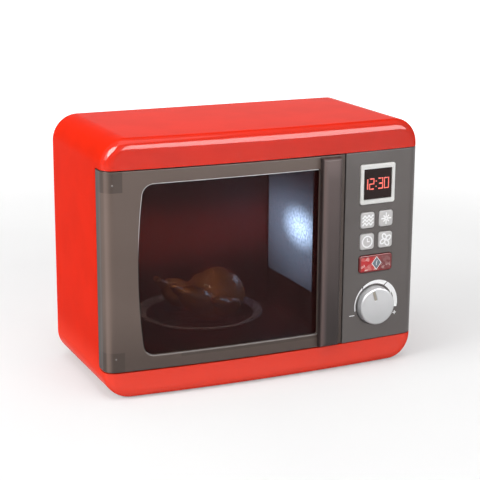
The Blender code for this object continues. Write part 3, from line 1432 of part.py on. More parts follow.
def gear_outline(teeth, phase):
    """Outline of a gear with trapezoid teeth, one of them centred on a phase."""
    pitch_radius = teeth * TOOTH_SIZE / 2
    tip = pitch_radius + TOOTH_SIZE * GEAR_TIP_SHARE
    root = pitch_radius - TOOTH_SIZE * GEAR_ROOT_SHARE
    step = TURN / teeth
    corners = (
        (root, -TOOTH_ROOT_SHARE),
        (tip, -TOOTH_TIP_SHARE),
        (tip, TOOTH_TIP_SHARE),
        (root, TOOTH_ROOT_SHARE),
    )
    points = []
    for tooth in range(teeth):
        for radius, share in corners:
            angle = phase + step * (tooth + share)
            points.append((radius * math.cos(angle), radius * math.sin(angle)))
    return points


def gear(name, teeth, phase, x, low, high, collection=PARTS):
    """A spur gear on the line of the gear train, which runs along X."""
    obj = prism(name, gear_outline(teeth, phase), low, high, "Z", collection)
    obj.data.transform(Matrix.Translation((x, PLATE_Y, 0)))
    return obj


def upright(name, radius, x, low, high, sides=ROUND_SIDES, collection=PARTS):
    """A vertical round bar on the line of the gear train."""
    return rod(name, radius, (x, PLATE_Y, low), (x, PLATE_Y, high), sides, collection)


def make_gear_train():
    """Base, motor, pinion, idler and output gear under the cavity floor."""
    half = OUTPUT_TEETH * TOOTH_SIZE / 2 + GEARBOX_MARGIN / 2
    base = box(
        "gearbox_base",
        (PLATE_X - GEARBOX_MARGIN, PLATE_Y - half, GEARBOX_FLOOR),
        (MOTOR_X + MOTOR_RADIUS + GEARBOX_MARGIN, PLATE_Y + half, GEARBOX_TOP),
    )
    boss_top = GEARBOX_TOP + GEARBOX_BOSS_HEIGHT
    cradle = MOTOR_RADIUS + FIT_GAP
    below = GEARBOX_FLOOR + GEARBOX_PLATE / 2
    join(
        base,
        upright("spindle_boss", GEARBOX_BOSS_RADIUS, PLATE_X, below, boss_top),
        upright("axle_boss", GEARBOX_BOSS_RADIUS, IDLER_X, below, boss_top),
        upright(
            "motor_cradle",
            cradle + MOTOR_CRADLE_WALL,
            MOTOR_X,
            below,
            GEARBOX_TOP + MOTOR_CRADLE_HEIGHT,
            FINE_SIDES,
        ),
    )
    cut(
        base,
        upright("motor_room", cradle, MOTOR_X, GEARBOX_TOP, MOTOR_TOP, FINE_SIDES),
        upright("spindle_seat", SPINDLE_RADIUS + FIT_GAP, PLATE_X, below, OUTPUT_Z),
        upright("axle_seat", AXLE_RADIUS + FIT_GAP, IDLER_X, below, OUTPUT_Z),
    )
    dress(base, WHITE, 0.4)
    make_motor()
    idler_low = boss_top + FIT_GAP
    large_top = LARGE_WHEEL_Z + GEAR_THICKNESS
    idler_phase = TURN / IDLER_SMALL_TEETH / 2
    idler = gear("idler_gear", IDLER_LARGE_TEETH, 0, IDLER_X, LARGE_WHEEL_Z, large_top)
    small = gear(
        "idler_small_wheel", IDLER_SMALL_TEETH, idler_phase, IDLER_X, idler_low, LARGE_WHEEL_Z + FIT_GAP
    )
    join(idler, small)
    bore = AXLE_RADIUS + FIT_GAP
    cut(idler, upright("idler_bore", bore, IDLER_X, idler_low - CUT_OVERRUN, large_top + CUT_OVERRUN))
    dress(idler, CREAM, 0.4)
    place_origin(idler, (IDLER_X, PLATE_Y, idler_low))
    axle_low, axle_high = below + FIT_GAP, LINER_UNDERSIDE - FIT_GAP
    dress(upright("idler_axle", AXLE_RADIUS, IDLER_X, axle_low, axle_high), STEEL, 0.3, 1.0)
    output = gear("output_gear", OUTPUT_TEETH, 0, PLATE_X, OUTPUT_Z, OUTPUT_Z + GEAR_THICKNESS)
    hub_low = boss_top + FIT_GAP
    hub_high = OUTPUT_Z + GEAR_THICKNESS + OUTPUT_HUB_HEIGHT
    join(output, upright("output_hub", OUTPUT_HUB_RADIUS, PLATE_X, hub_low, hub_high))
    bore = SPINDLE_RADIUS + FIT_GAP
    cut(output, upright("output_bore", bore, PLATE_X, hub_low - CUT_OVERRUN, hub_high + CUT_OVERRUN))
    dress(output, CREAM, 0.4)


def make_motor():
    """Flat motor in its cradle, with its shaft and pinion."""
    motor_shoulder = MOTOR_FLOOR + MOTOR_HEIGHT
    motor = upright("drive_motor", MOTOR_RADIUS, MOTOR_X, MOTOR_FLOOR, motor_shoulder, FINE_SIDES)
    nose_low = motor_shoulder - MOTOR_NOSE_HEIGHT
    join(motor, upright("motor_nose", MOTOR_NOSE_RADIUS, MOTOR_X, nose_low, MOTOR_TOP))
    bore = MOTOR_SHAFT_RADIUS + FIT_GAP
    shaft_low = MOTOR_TOP - MOTOR_HEIGHT / 2
    cut(motor, upright("motor_bore", bore, MOTOR_X, shaft_low - FIT_GAP, MOTOR_TOP + CUT_OVERRUN))
    dress(motor, STEEL, 0.3, 1.0)
    shaft_high = LARGE_WHEEL_Z + GEAR_THICKNESS + FIT_GAP
    shaft = upright("motor_shaft", MOTOR_SHAFT_RADIUS, MOTOR_X, shaft_low, shaft_high, SCREW_SIDES)
    dress(shaft, STEEL, 0.3, 1.0)
    phase = TURN / PINION_TEETH / 2
    pinion_low = MOTOR_TOP + FIT_GAP
    pinion = gear("motor_pinion", PINION_TEETH, phase, MOTOR_X, pinion_low, shaft_high)
    cut(pinion, upright("pinion_bore", bore, MOTOR_X, MOTOR_TOP, shaft_high + CUT_OVERRUN, SCREW_SIDES))
    dress(pinion, CREAM, 0.4)
    carry("motor_axis", (MOTOR_X, PLATE_Y, MOTOR_TOP), [shaft, pinion])


def make_turntable():
    """Spindle with its hexagonal coupler, and the plate that sits on it."""
    low = GEARBOX_FLOOR + GEARBOX_PLATE / 2 + FIT_GAP
    profile = [
        (0, PLATE_FLANGE_Z + SPINDLE_FLANGE_HEIGHT - low),
        (SPINDLE_FLANGE_RADIUS, PLATE_FLANGE_Z + SPINDLE_FLANGE_HEIGHT - low),
        (SPINDLE_FLANGE_RADIUS, PLATE_FLANGE_Z - low),
        (SPINDLE_RADIUS, PLATE_FLANGE_Z - low),
        (SPINDLE_RADIUS, 0),
        (0, 0),
    ]
    spindle = turned("turntable_spindle", profile, (PLATE_X, PLATE_Y, low), (0, 0, 1))
    coupler_low = PLATE_FLANGE_Z + SPINDLE_FLANGE_HEIGHT / 2
    coupler_high = PLATE_FLANGE_Z + SPINDLE_FLANGE_HEIGHT + COUPLER_HEIGHT
    join(spindle, upright("coupler", COUPLER_RADIUS, PLATE_X, coupler_low, coupler_high, COUPLER_SIDES))
    dress(spindle, WHITE, 0.4)
    under, top = PLATE_UNDERSIDE, PLATE_TOP
    hub_low = PLATE_FLANGE_Z + SPINDLE_FLANGE_HEIGHT + FIT_GAP
    rise, thick = PLATE_RIM_RISE, PLATE_THICKNESS
    profile = [
        (0, top - hub_low),
        (PLATE_BASE_RADIUS, top - hub_low),
        (PLATE_WELL_RADIUS, top + rise - thick - hub_low),
        (PLATE_RADIUS - thick / 2, top + rise - hub_low),
        (PLATE_RADIUS, top + rise - thick / 2 - hub_low),
        (PLATE_RADIUS - thick / 2, top + rise - thick - hub_low),
        (PLATE_WELL_RADIUS + thick / 2, top + rise - 2 * thick - hub_low),
        (PLATE_BASE_RADIUS + thick / 2, under - hub_low),
        (PLATE_HUB_RADIUS, under - hub_low),
        (PLATE_HUB_RADIUS, 0),
        (0, 0),
    ]
    plate = turned("turntable_plate", profile, (PLATE_X, PLATE_Y, hub_low), (0, 0, 1), FINE_SIDES)
    radius = COUPLER_RADIUS + FIT_GAP / math.cos(TURN / COUPLER_SIDES / 2)
    low, high = coupler_low - CUT_OVERRUN, coupler_high + FIT_GAP
    cut(plate, upright("plate_socket", radius, PLATE_X, low, high, COUPLER_SIDES))
    dress(plate, SMOKE, 0.1)
    pieces = [spindle, bpy.data.objects["output_gear"], plate]
    carry("turntable_axis", (PLATE_X, PLATE_Y, CAVITY_FLOOR), pieces)


def lump(name, size, place, tilt=0):
    """A rounded lump: its sizes, its place in the chicken's frame and its tilt."""
    bm = bmesh.new()
    bmesh.ops.create_uvsphere(bm, u_segments=CHICKEN_SIDES, v_segments=CHICKEN_SIDES // 2, radius=1)
    stretch = Matrix.Diagonal((*(Vector(size) / 2), 1))
    shape = Matrix.Translation(place) @ Matrix.Rotation(-tilt, 4, "Y") @ stretch
    stand = Matrix.Translation((PLATE_X, PLATE_Y, PLATE_TOP + FIT_GAP))
    turn = Matrix.Rotation(CHICKEN_TURN, 4, "Z")
    bmesh.ops.transform(bm, matrix=stand @ turn @ shape, verts=bm.verts)
    return link_mesh(name, bm)


def make_chicken():
    """Pretend roast chicken: a body with two legs and two folded wings."""
    size = (BODY_LENGTH, BODY_WIDTH, BODY_HEIGHT)
    bird = lump("toy_chicken", size, (-BODY_OFFSET, 0, BODY_HEIGHT / 2 - BODY_FLAT))
    along = Vector((math.cos(THIGH_TILT), 0, math.sin(THIGH_TILT))) * THIGH_LENGTH / 2
    for side in (-1, 1):
        hip = Vector((THIGH_REACH, side * THIGH_SPREAD, THIGH_RISE))
        size = (THIGH_LENGTH, THIGH_WIDTH, THIGH_HEIGHT)
        thigh = lump(f"thigh_{side}", size, hip, THIGH_TILT)
        size = (BONE_LENGTH, BONE_WIDTH, BONE_WIDTH)
        end = hip + along - Vector((0, side * BONE_INSET, 0))
        bone = lump(f"bone_{side}", size, end, BONE_TILT)
        size = (WING_LENGTH, WING_WIDTH, WING_HEIGHT)
        wing = lump(f"wing_{side}", size, (-WING_OFFSET, side * WING_SPREAD, WING_RISE))
        join(bird, thigh, bone, wing)
    far = BODY_LENGTH
    floor = box(
        "chicken_floor",
        (PLATE_X - far, PLATE_Y - far, PLATE_TOP + FIT_GAP - far),
        (PLATE_X + far, PLATE_Y + far, PLATE_TOP + FIT_GAP),
    )
    cut(bird, floor)
    dress(bird, BROWN, 0.35)
    place_origin(bird, (PLATE_X, PLATE_Y, PLATE_TOP))


def main():
    """Builds the whole oven."""
    clear_scene()
    make_case()
    make_rear_cover()
    make_speaker()
    make_cavity()
    make_door()
    make_control_panel()
    make_display()
    make_buttons()
    make_board()
    make_knob()
    make_batteries()
    make_gear_train()
    make_turntable()
    make_chicken()


main()
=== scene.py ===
"""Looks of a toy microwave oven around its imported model.

A glossy red case with a bowed front, a smoked door with its handle, a control
panel with a lit display, sprung buttons and a timer knob, and a plate with a
pretend roast chicken on it. Lengths are in metres, +Z is up, the front faces -Y.
"""

import json
import logging
import math
from collections.abc import Callable, Sequence
from dataclasses import dataclass
from enum import Enum
from functools import cache

import bmesh
import bpy
from mathutils import Matrix, Vector, noise

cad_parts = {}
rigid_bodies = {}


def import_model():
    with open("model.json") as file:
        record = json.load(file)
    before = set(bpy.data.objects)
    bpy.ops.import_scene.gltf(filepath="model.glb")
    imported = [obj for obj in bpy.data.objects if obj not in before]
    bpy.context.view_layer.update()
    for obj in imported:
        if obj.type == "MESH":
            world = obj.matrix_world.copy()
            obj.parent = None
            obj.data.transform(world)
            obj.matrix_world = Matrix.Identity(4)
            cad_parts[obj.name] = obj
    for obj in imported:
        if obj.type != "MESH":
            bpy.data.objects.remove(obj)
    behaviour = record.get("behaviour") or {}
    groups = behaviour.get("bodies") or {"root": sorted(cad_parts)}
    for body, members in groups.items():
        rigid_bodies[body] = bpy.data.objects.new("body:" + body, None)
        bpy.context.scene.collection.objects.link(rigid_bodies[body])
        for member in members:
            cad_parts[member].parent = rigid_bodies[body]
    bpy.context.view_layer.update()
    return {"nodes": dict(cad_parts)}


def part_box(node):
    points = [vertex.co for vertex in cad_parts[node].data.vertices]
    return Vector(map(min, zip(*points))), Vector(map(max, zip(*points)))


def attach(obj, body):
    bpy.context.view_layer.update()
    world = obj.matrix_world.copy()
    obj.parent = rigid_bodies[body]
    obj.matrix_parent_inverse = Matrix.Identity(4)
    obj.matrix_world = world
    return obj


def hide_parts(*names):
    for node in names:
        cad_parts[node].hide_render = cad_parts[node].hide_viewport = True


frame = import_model()

LOG = logging.getLogger("toy_microwave")
MM = 0.001
TURN = 2 * math.pi
WELD = 0.001 * MM
OVERRUN = 5 * MM

Pair = tuple[float, float]
Colour = tuple[float, float, float]
Socket = bpy.types.NodeSocket


def srgb(red: int, green: int, blue: int) -> Colour:
    """Linear colour for one written as it looks on a screen, 0 to 255."""
    return tuple(((value / 255 + 0.055) / 1.055) ** 2.4 for value in (red, green, blue))


def even_steps(low: float, high: float, count: int) -> list[float]:
    """The even values from low to high that are count steps apart."""
    return [low + (high - low) * step / count for step in range(count + 1)]


def polar(centre: Pair, reach: float, turn: float) -> Pair:
    """The point at a distance and an angle, in radians, from a centre."""
    return centre[0] + reach * math.cos(turn), centre[1] + reach * math.sin(turn)


def rounded_outline(corners: Sequence[Colour], steps: int = 8) -> list[Pair]:
    """Draws an outline with its corners rounded.

    Args:
        corners: places in the plane and the radius at each, 0 for a sharp one.
        steps: pieces in each rounding.

    Returns:
        The outline's points in order.
    """
    points = []
    for index, (x, z, radius) in enumerate(corners):
        here = Vector((x, z))
        if not radius:
            points.append((x, z))
            continue
        before = (Vector(corners[index - 1][:2]) - here).normalized()
        after = (Vector(corners[(index + 1) % len(corners)][:2]) - here).normalized()
        half = before.angle(after) / 2
        centre = here + (before + after).normalized() * radius / math.sin(half)
        start = here + before * radius / math.tan(half) - centre
        end = here + after * radius / math.tan(half) - centre
        sweep = start.angle_signed(end)
        turns = [Matrix.Rotation(-turn, 2) for turn in even_steps(0, sweep, steps)]
        points += [tuple(centre + turn @ start) for turn in turns]
    return points


def settled(*helpers: bpy.types.Object) -> bmesh.types.BMesh:
    """Takes a helper's mesh with its modifiers done, and clears the helpers away.

    Args:
        *helpers: the object that is taken, and others that it works with.

    Returns:
        A new bmesh.
    """
    evaluated = helpers[0].evaluated_get(bpy.context.evaluated_depsgraph_get())
    mesh = bpy.data.meshes.new_from_object(evaluated)
    bm = bmesh.new()
    bm.from_mesh(mesh)
    bpy.data.batch_remove([mesh, *helpers, *[helper.data for helper in helpers]])
    return bm


def along(axis: int) -> Callable:
    """Test for edges that run along X, Y or Z, given as 0, 1 or 2.

    Args:
        axis: the axis.

    Returns:
        The test.
    """

    def chosen(edge: bmesh.types.BMEdge) -> bool:
        """Whether the edge runs along the axis."""
        span = edge.verts[1].co - edge.verts[0].co
        return abs(span[axis]) > WELD and abs(abs(span[axis]) - span.length) < WELD

    return chosen


def lying_at(axis: int, *values: float) -> Callable:
    """Test for edges whose both ends lie at one of some values of an axis.

    Args:
        axis: the axis.
        *values: the values.

    Returns:
        The test.
    """

    def chosen(edge: bmesh.types.BMEdge) -> bool:
        """Whether both ends lie there."""
        return any(all(abs(vert.co[axis] - value) < WELD for vert in edge.verts) for value in values)

    return chosen


class Carving(Enum):
    """Ways in which one form works on another."""

    CUT = "DIFFERENCE"
    JOIN = "UNION"


@dataclass(frozen=True)
class Stroke:
    """A drawn line: its points in X and Z, and whether it ends where it starts."""

    points: tuple[Pair, ...]
    closed: bool = False

    @classmethod
    def ring(cls, centre: Pair, size: Pair, tilt: float = 0) -> "Stroke":
        """A line round an ellipse.

        Args:
            centre: its middle.
            size: its two radii.
            tilt: how far it is turned, in turns.

        Returns:
            The closed stroke.
        """
        turned = Matrix.Rotation(tilt * TURN, 2)
        points = []
        for turn in even_steps(0, TURN, 32)[:-1]:
            x, z = turned @ Vector((size[0] * math.cos(turn), size[1] * math.sin(turn)))
            points.append((centre[0] + x, centre[1] + z))
        return cls(tuple(points), True)


class Form:
    """A solid that bmesh operators shape, one step after another."""

    def __init__(self, bm: bmesh.types.BMesh | None = None) -> None:
        """Takes over a bmesh, or starts an empty one."""
        self.bm = bm or bmesh.new()

    @classmethod
    def block(cls, low: Sequence[float], high: Sequence[float]) -> "Form":
        """A box.

        Args:
            low, high: its lowest and highest corner.

        Returns:
            The new form.
        """
        low, high = Vector(low), Vector(high)
        form = cls()
        bmesh.ops.create_cube(form.bm, size=1)
        return form.move(Matrix.Translation((low + high) / 2) @ Matrix.Diagonal((*(high - low), 1)))

    @classmethod
    def slab(cls, outline: Sequence[Pair], low: float, high: float, upright: bool = True) -> "Form":
        """A flat outline drawn out to a thickness.

        Args:
            outline: points in X and Z when upright, else in X and Y.
            low, high: where the thickness starts and ends, in Y when upright, else in Z.
            upright: whether the outline stands or lies.

        Returns:
            The new form.
        """
        form = cls()
        ring = [form.bm.verts.new((x, low, up) if upright else (x, up, low)) for x, up in outline]
        step = (0, high - low, 0) if upright else (0, 0, high - low)
        return form.thicken([form.bm.faces.new(ring)], step)

    @classmethod
    def loft(cls, rings: Sequence[Sequence[Vector]]) -> "Form":
        """A closed solid through rings that all have as many points.

        Args:
            rings: the rings in order; the first and last are filled.

        Returns:
            The new form.
        """
        form = cls()
        loops = []
        for ring in rings:
            verts = [form.bm.verts.new(point) for point in ring]
            loops.append([form.bm.edges.new((verts[i - 1], verts[i])) for i in range(len(verts))])
        for near, far in zip(loops, loops[1:]):
            bmesh.ops.bridge_loops(form.bm, edges=near + far)
        for loop in (loops[0], loops[-1]):
            bmesh.ops.contextual_create(form.bm, geom=loop)
        return form.clean()

    @classmethod
    def turned(cls, profile: Sequence[Pair], base: Sequence[float], up: Colour, sides: int = 128) -> "Form":
        """A piece turned about an axis.

        Args:
            profile: radius and height pairs.
            base: the point of zero height on the axis.
            up: direction of growing height.
            sides: number of steps round the axis.

        Returns:
            The new form.
        """
        form = cls()
        line = [form.bm.verts.new((radius, 0, height)) for radius, height in profile]
        line += [form.bm.edges.new(pair) for pair in zip(line, line[1:])]
        turning = {"cent": (0, 0, 0), "axis": (0, 0, 1), "angle": TURN, "steps": sides, "use_merge": True}
        bmesh.ops.spin(form.bm, geom=line, **turning)
        turn = Vector(up).to_track_quat("Z", "Y").to_matrix().to_4x4()
        return form.move(Matrix.Translation(base) @ turn).clean()

    @classmethod
    def rod(cls, radius: float, start: Sequence[float], end: Sequence[float]) -> "Form":
        """A round bar between the middles of its two ends."""
        span = Vector(end) - Vector(start)
        return cls.turned([(0, 0), (radius, 0), (radius, span.length), (0, span.length)], start, span, 48)

    @classmethod
    def ribbon(cls, first: Sequence[Pair], second: Sequence[Pair], thickness: float) -> "Form":
        """A flat band between two lines, in X and Z, that stands proud of Y = 0.

        Args:
            first, second: points of its two edges, as many of each.
            thickness: how thick the band is.

        Returns:
            The new form.
        """
        form = cls()
        chains = []
        for line in (first, second):
            verts = [form.bm.verts.new((x, 0, z)) for x, z in line]
            chains += [form.bm.edges.new(pair) for pair in zip(verts, verts[1:])]
        bmesh.ops.bridge_loops(form.bm, edges=chains)
        return form.thicken(form.bm.faces[:], (0, -thickness, 0))

    @classmethod
    def strokes(cls, lines: Sequence[Stroke], width: float, thickness: float) -> "Form":
        """Drawn lines as flat bars with round edges, centred on Y = 0.

        Args:
            lines: the lines in X and Z.
            width, thickness: the bars' section.

        Returns:
            The new form.
        """
        curve = bpy.data.curves.new("strokes", "CURVE")
        curve.dimensions = "3D"
        curve.bevel_depth = width / 2
        curve.bevel_resolution = 2
        curve.use_fill_caps = True
        for line in lines:
            spline = curve.splines.new("POLY")
            spline.points.add(len(line.points) - 1)
            for point, (x, z) in zip(spline.points, line.points):
                point.co = (x, 0, z, 1)
            spline.use_cyclic_u = line.closed
        guide = bpy.data.objects.new("strokes", curve)
        bpy.context.scene.collection.objects.link(guide)
        return cls(settled(guide)).move(Matrix.Diagonal((1, thickness / width, 1, 1))).clean()

    def thicken(self, faces: Sequence[bmesh.types.BMFace], step: Colour) -> "Form":
        """Draws faces out by a step.

        Args:
            faces: the faces.
            step: how far and which way they move.

        Returns:
            This form.
        """
        grown = bmesh.ops.extrude_face_region(self.bm, geom=faces)["geom"]
        moved = [item for item in grown if isinstance(item, bmesh.types.BMVert)]
        bmesh.ops.translate(self.bm, vec=step, verts=moved)
        return self.clean()

    def clean(self) -> "Form":
        """Merges doubles and turns the faces outwards.

        Returns:
            This form.
        """
        bmesh.ops.remove_doubles(self.bm, verts=self.bm.verts, dist=WELD)
        bmesh.ops.recalc_face_normals(self.bm, faces=self.bm.faces)
        return self

    def soften(self, chosen: Callable, radius: float, segments: int = 8) -> "Form":
        """Rounds the edges that a test picks.

        Args:
            chosen: test of an edge.
            radius: size of the rounding.
            segments: pieces in the rounding.

        Returns:
            This form.
        """
        edges = [edge for edge in self.bm.edges if chosen(edge)]
        rounding = {"offset": radius, "segments": segments, "profile": 0.5, "affect": "EDGES"}
        bmesh.ops.bevel(self.bm, geom=edges, material=-1, **rounding)
        return self

    def slice(self, place: Sequence[float], normal: Colour, **settings: bool) -> dict:
        """Cuts every face along a plane; returns bmesh's account of it."""
        geometry = self.bm.verts[:] + self.bm.edges[:] + self.bm.faces[:]
        return bmesh.ops.bisect_plane(self.bm, geom=geometry, plane_co=place, plane_no=normal, **settings)

    def columns(self, count: int) -> "Form":
        """Cuts the form at even places along X, so that it can follow a bow.

        Args:
            count: how many strips there are.

        Returns:
            This form.
        """
        xs = [vert.co.x for vert in self.bm.verts]
        for x in even_steps(min(xs), max(xs), count)[1:-1]:
            self.slice((x, 0, 0), (1, 0, 0))
        return self

    def shift_back(self, surface: Callable, ahead_of: float = math.inf, behind: float = -math.inf) -> "Form":
        """Moves the form back by a surface's height at each X.

        Args:
            surface: Y of the surface at an X.
            ahead_of, behind: only points between these Y move.

        Returns:
            This form.
        """
        for vert in self.bm.verts:
            if behind < vert.co.y < ahead_of:
                vert.co.y += surface(vert.co.x)
        return self

    def move(self, matrix: Matrix) -> "Form":
        """Moves, turns or stretches the whole form."""
        bmesh.ops.transform(self.bm, matrix=matrix, verts=self.bm.verts)
        return self

    def add(self, *others: "Form") -> "Form":
        """Takes in other forms that stand apart from it.

        Args:
            *others: the forms that it takes in.

        Returns:
            This form.
        """
        for other in others:
            mesh = bpy.data.meshes.new("taken")
            other.bm.to_mesh(mesh)
            self.bm.from_mesh(mesh)
            bpy.data.meshes.remove(mesh)
        return self

    def carve(self, how: Carving, *tools: "Form") -> "Form":
        """Cuts other forms out of it or joins them to it.

        Args:
            how: what the tools do.
            *tools: the forms that do it.

        Returns:
            This form.
        """
        helpers = [form.as_object("carving") for form in (self, *tools)]
        for tool in helpers[1:]:
            modifier = helpers[0].modifiers.new("carving", "BOOLEAN")
            modifier.operation = how.value
            modifier.solver = "EXACT"
            modifier.object = tool
        self.bm = settled(*helpers)
        return self.clean()

    def as_object(self, name: str) -> bpy.types.Object:
        """A linked object with this form's mesh.

        Args:
            name: the object's name.

        Returns:
            The object.
        """
        mesh = bpy.data.meshes.new(name)
        self.bm.to_mesh(mesh)
        made = bpy.data.objects.new(name, mesh)
        bpy.context.scene.collection.objects.link(made)
        return made

    def piece(
        self,
        name: str,
        body: str,
        finish: "Finish",
        slot: str,
        replaces: Sequence[str] = (),
        crease: float = 32,
    ) -> None:
        """Makes the finished piece, dressed and carried by its body.

        Args:
            name: the piece's name.
            body: the body that it rides on.
            finish: what it is dressed in.
            slot: the record's material slot; not used.
            replaces: CAD nodes that it stands for.
            crease: angle in degrees above which an edge stays sharp.
        """
        made = self.as_object(name)
        made.data.materials.append(finish.material())
        made.data.shade_smooth()
        made.data.set_sharp_from_angle(angle=math.radians(crease))
        made.modifiers.new("Even light", "WEIGHTED_NORMAL").keep_sharp = True
        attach(made, body)
        if replaces:
            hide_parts(*replaces)
        LOG.info("%s: %d faces on %s", name, len(made.data.polygons), body)


# Finishes: what each surface is made of


class Effect(Enum):
    """Shader groups that several finishes share: name, then the inputs after Vector."""

    GRAIN = ("moulded_grain", "Fine", "Broad")
    MOTTLE = ("mottle", "Scale", "First", "Second")
    SMUDGE = ("smudges", "Scale", "Low", "High")
    ZONE = ("soft_zone", "Centre", "Half", "Soft")


SOCKET_KINDS = {key: "Vector" for key in ("Vector", "Centre", "Half")} | {"First": "Color", "Second": "Color"}
LENGTHS = ("DISTANCE", "LENGTH", "DOT_PRODUCT")


class Shader:
    """A node tree that is being wired, for a material or a group."""

    def __init__(self, tree: bpy.types.NodeTree, place: Socket | None = None) -> None:
        """Takes over a node tree and the vector that its patterns follow."""
        self.tree = tree
        self.place = place

    def fill(self, socket: Socket, value: object) -> None:
        """Sets an input, or links another node's output to it.

        Args:
            socket: the input.
            value: the value, or the other node's output.
        """
        if isinstance(value, Socket):
            self.tree.links.new(value, socket)
        else:
            socket.default_value = (*value, 1) if socket.type == "RGBA" else value

    def node(self, kind: str, inputs: dict | None = None, **settings: object) -> bpy.types.Node:
        """Adds a node.

        Args:
            kind: Blender's name of the node.
            inputs: a value, or another node's output, for each named or numbered input.
            **settings: the node's own settings.

        Returns:
            The new node.
        """
        made = self.tree.nodes.new(kind)
        for key, value in settings.items():
            setattr(made, key, value)
        for key, value in (inputs or {}).items():
            self.fill(made.inputs[key], value)
        return made

    def maths(self, operation: str, first: object, *others: object) -> Socket:
        """Output of Math nodes that take in one value after another.

        Args:
            operation: what they do.
            first: the first value.
            *others: the next ones.

        Returns:
            The last node's output.
        """
        for other in others:
            first = self.node("ShaderNodeMath", {0: first, 1: other}, operation=operation).outputs[0]
        return first

    def vectors(self, operation: str, *values: object) -> Socket:
        """Output of a Vector Math node on vectors or other outputs."""
        made = self.node("ShaderNodeVectorMath", dict(enumerate(values)), operation=operation)
        return made.outputs["Value" if operation in LENGTHS else "Vector"]

    def axes(self, vector: Socket | None = None) -> Sequence[Socket]:
        """X, Y and Z of a vector, or of the place."""
        return self.node("ShaderNodeSeparateXYZ", {0: vector or self.place}).outputs

    def blend(self, share: object, first: object, second: object) -> Socket:
        """Colour between the first, at a share of 0, and the second, at 1."""
        return self.node("ShaderNodeMix", {0: share, 6: first, 7: second}, data_type="RGBA").outputs[2]

    def ramp(self, value: Socket, low: float, high: float, start: object, end: object) -> Socket:
        """Maps the values from low to high to those from start to end, smoothly."""
        inputs = {0: value, 1: low, 2: high, 3: start, 4: end}
        return self.node("ShaderNodeMapRange", inputs, interpolation_type="SMOOTHSTEP").outputs[0]

    def noise(self, scale: object, detail: float = 2, vector: Socket | None = None) -> Socket:
        """Noise between about 0 and 1, read at a vector or at the place."""
        inputs = {"Vector": vector or self.place, "Scale": scale, "Detail": detail}
        return self.node("ShaderNodeTexNoise", inputs).outputs[0]

    def seen(self) -> Socket:
        """1 where the camera sees a surface, directly, mirrored or through glass.

        Returns:
            The output.
        """
        rays = self.node("ShaderNodeLightPath").outputs
        kinds = "Camera", "Glossy", "Transmission"
        return self.maths("MAXIMUM", *[rays[f"Is {kind} Ray"] for kind in kinds])


def build_effect(kind: Effect) -> bpy.types.NodeTree:
    """Builds a shared shader group.

    Args:
        kind: which group.

    Returns:
        The group's tree.
    """
    name, *inputs = kind.value
    tree = bpy.data.node_groups.new(name, "ShaderNodeTree")
    for key in ("Vector", *inputs):
        tree.interface.new_socket(
            name=key, in_out="INPUT", socket_type="NodeSocket" + SOCKET_KINDS.get(key, "Float")
        )
    output = "NodeSocketColor" if kind is Effect.MOTTLE else "NodeSocketFloat"
    tree.interface.new_socket(name="Result", in_out="OUTPUT", socket_type=output)
    given = tree.nodes.new("NodeGroupInput").outputs
    shader = Shader(tree, given["Vector"])
    if kind is Effect.GRAIN:
        fine, broad = shader.noise(given["Fine"], 3), shader.noise(given["Broad"], 1)
        result = shader.maths("ADD", shader.maths("MULTIPLY", fine, 0.35), broad)
    elif kind is Effect.MOTTLE:
        share = shader.ramp(shader.noise(given["Scale"]), 0.3, 0.7, 0, 1)
        result = shader.blend(share, given["First"], given["Second"])
    elif kind is Effect.SMUDGE:
        result = shader.ramp(shader.noise(given["Scale"]), 0.3, 0.7, given["Low"], given["High"])
    else:
        away = shader.vectors("ABSOLUTE", shader.vectors("SUBTRACT", shader.place, given["Centre"]))
        over = shader.axes(shader.vectors("SUBTRACT", away, given["Half"]))
        result = shader.ramp(shader.maths("MAXIMUM", *over), 0, given["Soft"], 1, 0)
    shader.node("NodeGroupOutput", {0: result})
    return tree


class Skin(Shader):
    """A material's node tree, with its Principled BSDF and Object coordinates."""

    def __init__(self, name: str) -> None:
        """Starts a new material.

        Args:
            name: the material's name.
        """
        self.material = bpy.data.materials.new(name)
        self.material.use_nodes = True
        super().__init__(self.material.node_tree)
        self.place = self.node("ShaderNodeTexCoord").outputs["Object"]

    def set(self, **values: object) -> None:
        """Sets or links inputs of the Principled BSDF, with _ for the spaces in their names."""
        for key, value in values.items():
            self.fill(self.tree.nodes["Principled BSDF"].inputs[key.replace("_", " ")], value)

    def effect(self, kind: Effect, **inputs: object) -> Socket:
        """Output of a shared group at the material's place."""
        group = bpy.data.node_groups.get(kind.value[0]) or build_effect(kind)
        return self.node("ShaderNodeGroup", {"Vector": self.place, **inputs}, node_tree=group).outputs[0]

    def cells(self, scale: float, output: str, **settings: object) -> Socket:
        """An output of a pattern of cells at the material's place."""
        inputs = {"Vector": self.place, "Scale": scale}
        return self.node("ShaderNodeTexVoronoi", inputs, **settings).outputs[output]


